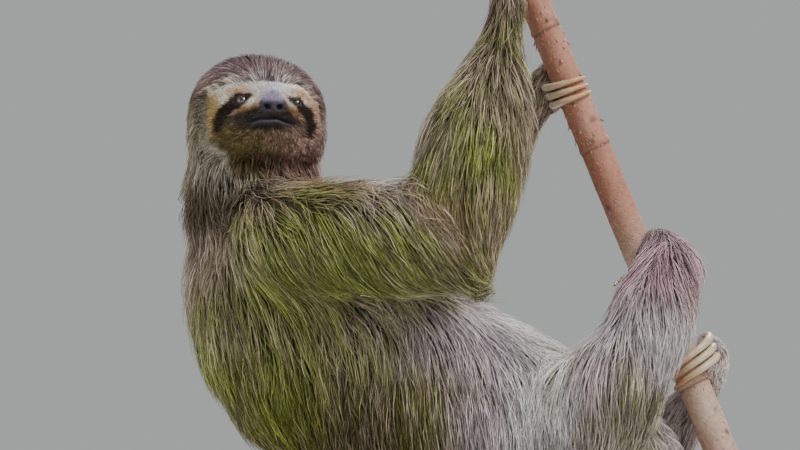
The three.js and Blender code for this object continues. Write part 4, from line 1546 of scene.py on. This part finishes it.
stem = mesh_object("stem", stem_points, quads[:, ::-1], caps[:, ::-1])
bark_patch = noise(rough_place, 0.045, 53) + 0.5 * noise(rough_place, 0.014, 54)
sun = 0.5 + 0.5 * np.cos(angle - 0.9)
bark = tint(BARK_RED, BARK_PINK, np.clip(0.5 + 0.6 * bark_patch + 0.3 * (sun - 0.5), 0.0, 1.0).ravel())
paling = 0.55 + 0.45 * np.clip(0.4 - bark_patch, 0.0, 1.0)
pale = ramp(215.0, 300.0, along + 40.0 * noise(rough_place, 0.05, 55)) * paling
bark = tint(bark, BARK_PALE, pale.ravel())
stains = ramp(0.55, 0.9, noise(rough_place, 0.008, 56))
# Painted shade: darker in the groove just below each ring scar; the small dark spots of noise are stains.
bark = tint(bark, BARK_DARK, 0.75 * np.maximum(bump(scar_away, 3.0, 0.9), stains).ravel())
cut = np.repeat([WOOD], 2 * STEM_SIDES + 2, axis=0)
paint(stem.data, np.vstack([bark, cut]))
finish_piece(stem, "bark", BARK, "perch")


# %% Shapes for flakes and warts
def flake_shape():
    """A thin curled chip of bark, one unit long, with its root at the origin."""
    points, rows = [], 5
    for level in (0.0, -0.035):
        for step in range(rows):
            t = step / (rows - 1)
            half = 0.34 * math.sin(math.pi * (0.18 + 0.72 * t))
            for side in (-1.0, 0.0, 1.0):
                curl = 0.02 + 0.3 * t * t - 0.08 * side * side
                points.append((t, side * half, level + curl))
    points = np.array(points)
    faces = []
    for step in range(rows - 1):
        for side in (0, 1):
            a = step * 3 + side
            faces.append((a, a + 3, a + 4, a + 1))
            b = a + rows * 3
            faces.append((b, b + 1, b + 4, b + 3))
    count = rows * 3
    border = [0, 1, 2] + [3 * s + 2 for s in range(1, rows)] + [count - 2, count - 3]
    border += [3 * s for s in range(rows - 2, 0, -1)]
    for a, b in zip(border, border[1:] + border[:1]):
        faces.append((a, b, b + count, a + count))
    shape = mesh_object("flake_shape", points, np.array(faces))
    repair = bmesh.new()
    repair.from_mesh(shape.data)
    bmesh.ops.recalc_face_normals(repair, faces=repair.faces)
    repair.to_mesh(shape.data)
    repair.free()
    return shape


def wart_shape():
    """A low closed dome, one unit across, slightly sunk."""
    wart = bmesh.new()
    bmesh.ops.create_icosphere(wart, subdivisions=1, radius=0.5)
    for vertex in wart.verts:
        vertex.co.z *= 0.45
    mesh = bpy.data.meshes.new("wart_shape")
    wart.to_mesh(mesh)
    wart.free()
    return linked("wart_shape", mesh)


# %% Strew them over the stem
bark_tree = strewing_tree("bark_bits", 0.5, (0.5, 1.6))
skin_of_stem = mesh_object("patch", rings, quads[: (STEM_STEPS - 1) * STEM_SIDES, ::-1])
give(skin_of_stem.data, "lie", np.tile(perch_axis, (len(rings), 1)))
give(skin_of_stem.data, "size", np.ones(len(rings)))
flat = along.ravel()
bare = ramp(4.0, 12.0, flat) * ramp(perch_length - 4.0, perch_length - 12.0, flat)
paint(skin_of_stem.data, bark)
for name, shape, amount, density, size, finish in (
    ("bark_flakes", flake_shape(), bare * ramp(0.0, 0.5, bark_patch.ravel()), 0.013, 3.4, BARK),
    ("lenticels", wart_shape(), bare, 0.035, 1.1, CORK),
):
    give(skin_of_stem.data, "amount", amount)
    piece = strew(
        name, skin_of_stem, bark_tree,
        Shape=shape, Density=density / MM**2, Size=size * MM, Seed=9, Finish=finish,
    )
    drop(piece.data, "lie", "amount", "size")
    bpy.data.objects.remove(shape)
    finish_piece(piece, "bark", finish)
bpy.data.objects.remove(skin_of_stem)

# %% [markdown]
# ## The stand
#
# A museum mount is quiet: a slab of dark oiled wood with softened edges, and
# steel rods in small collars.  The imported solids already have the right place
# and size, so each new piece is drawn to the same numbers, only rounder.

# %% Make base, rods and collars
BASE_LENGTH, BASE_WIDTH, BASE_HEIGHT, BASE_CORNER, BASE_EDGE = 410.0, 250.0, 18.0, 40.0, 2.0
ROD_RADIUS = 5.0
RODS = {"body": (-36.0, 8.0, 130.0), "perch": (177.0, 0.0, 132.0)}


def base_outline(inset, corner_steps=14):
    """Points round the slab, drawn in by inset."""
    corner = BASE_CORNER - inset
    points = []
    for x, y, start in ((1, 1, 0.0), (-1, 1, 0.5), (-1, -1, 1.0), (1, -1, 1.5)):
        centre = np.array([x * (BASE_LENGTH / 2 - BASE_CORNER), y * (BASE_WIDTH / 2 - BASE_CORNER)])
        turn_angle = np.pi * (start + np.linspace(0.0, 0.5, corner_steps))
        points.append(centre + corner * np.stack([np.cos(turn_angle), np.sin(turn_angle)], axis=1))
    return np.vstack(points)


def stack(name, loops, levels):
    """A closed solid of loops of equal length at given heights, with flat ends."""
    count = len(loops[0])
    points = np.vstack([np.column_stack([loop, np.full(count, z)]) for loop, z in zip(loops, levels)])
    lid = np.arange(count)[None] + (len(loops) - 1) * count
    floor_face = np.arange(count)[None, ::-1]
    return mesh_object(name, points * MM, bands(len(loops), count), lid, floor_face)


turns = np.linspace(0.0, np.pi / 2.0, 6)
insets = np.concatenate([BASE_EDGE * (1.0 - np.sin(turns)), BASE_EDGE * (1.0 - np.cos(turns))])
heights = np.concatenate([
    BASE_EDGE * (1.0 - np.cos(turns)), BASE_HEIGHT - BASE_EDGE * (1.0 - np.sin(turns)),
])
slab = stack("slab", [base_outline(inset) for inset in insets], heights)


OILED_TONES = ((0.3, (0.018, 0.010, 0.006)), (0.72, (0.095, 0.05, 0.027)))


def wood_finish():
    """Dark oiled wood with a long grain along X."""
    material, tree, place = new_material("oiled_wood")
    stretched = add(tree, "ShaderNodeMapping", Vector=place, Scale=(5.0, 70.0, 30.0)).outputs["Vector"]
    grain = add(tree, "ShaderNodeTexNoise", Vector=stretched, Scale=1.6, Detail=6.0, Distortion=0.7)
    tones = add(tree, "ShaderNodeValToRGB", Fac=grain.outputs["Fac"])
    for stop, (position, colour) in zip(tones.color_ramp.elements, OILED_TONES):
        stop.position, stop.color = position, (*colour, 1.0)
    relief = add(tree, "ShaderNodeBump", Height=grain.outputs["Fac"], Distance=0.0002)
    feed(tree, tree.nodes["Principled BSDF"], {
        "Roughness": 0.38, "Base_Color": tones.outputs["Color"], "Normal": relief.outputs["Normal"],
    })
    return material


finish_piece(slab, "plinth", wood_finish(), "stand_base")


# %% Turn the rods with their collars
def rod_profile(top):
    """Radius and height pairs from the collar's foot to the rod's end."""
    foot = BASE_HEIGHT + 0.1
    return [
        (10.6, foot), (11.2, foot + 0.5), (11.2, foot + 3.2), (10.6, foot + 3.9), (7.0, foot + 4.3),
        (6.2, foot + 4.9), (6.0, foot + 6.6), (5.5, foot + 7.2), (ROD_RADIUS, foot + 7.8), (ROD_RADIUS, top),
    ]


circle_angle = np.linspace(0.0, 2.0 * np.pi, 40, endpoint=False)
circle = np.stack([np.cos(circle_angle), np.sin(circle_angle)], axis=1)
for name, (x, y, top) in RODS.items():
    profile = rod_profile(top)
    loops = [circle * radius + np.array([x, y]) for radius, _ in profile]
    rod = stack(f"rod_{name}", loops, [height for _, height in profile])
    finish_piece(rod, "rod", STEEL, f"stand_rod_{name}")

# %% [markdown]
# ## Camera, light and floor
#
# A long lens from far away flattens the view, as a naturalist's does.  It looks
# level along +Y.  The light is plain and soft: the strongest lamp stands high on
# the right, weaker ones stand on the left, low in front and high behind, and a
# pale surround fills the shadows.

# %% Camera
VIEW_WIDTH = 576 * MM  # what the frame spans at the animal
VIEW_DISTANCE = 4.5
VIEW_CENTRE = Vector((-66.2 * MM, 0.0, 308 * MM))
camera_data = bpy.data.cameras.new("camera")
camera_data.sensor_width = 36.0
camera_data.lens = camera_data.sensor_width * VIEW_DISTANCE / VIEW_WIDTH
camera_data.clip_end = 60.0
camera = linked("camera", camera_data)
camera.location = VIEW_CENTRE - Vector((0.0, VIEW_DISTANCE, 0.0))
camera.rotation_euler = (math.pi / 2, 0.0, 0.0)
bpy.context.scene.camera = camera


# %% Lamps, surround and floor
def softbox(name, place, target, size, power, colour):
    """A square lamp that faces a target."""
    data = bpy.data.lights.new(name, "AREA")
    data.size = size
    data.energy = power
    data.color = colour
    lamp = linked(name, data)
    lamp.location = place
    lamp.rotation_euler = (Vector(target) - Vector(place)).to_track_quat("-Z", "Y").to_euler()


softbox("key", (1.3, -0.9, 2.1), (0.0, 0.0, 0.3), 0.8, 55.0, (1.0, 0.97, 0.93))
softbox("fill", (-1.8, -1.6, 0.9), (0.0, 0.0, 0.3), 1.4, 16.0, (0.92, 0.96, 1.0))
softbox("low", (0.2, -2.2, 0.15), (-0.1, 0.0, 0.3), 1.2, 9.0, (1.0, 0.97, 0.93))
softbox("rim", (0.6, 1.7, 1.6), (0.0, 0.0, 0.35), 0.9, 32.0, (1.0, 0.98, 0.95))

world = bpy.data.worlds.new("surround")
world.use_nodes = True
backdrop = world.node_tree.nodes["Background"]
backdrop.inputs["Color"].default_value = (0.78, 0.8, 0.8, 1.0)
backdrop.inputs["Strength"].default_value = 0.52
bpy.context.scene.world = world

FLOOR_RADIUS, FLOOR_SIDES = 3.2, 96
around = np.linspace(0.0, 2.0 * math.pi, FLOOR_SIDES + 1)[:-1]
rim = np.stack([FLOOR_RADIUS * np.cos(around), FLOOR_RADIUS * np.sin(around), 0.0 * around], axis=1)
floor = mesh_object("floor", rim, np.arange(FLOOR_SIDES)[None])
floor.data.materials.append(shader("pale_floor", 0.8, (0.62, 0.62, 0.6), (4.0, 0.02)))
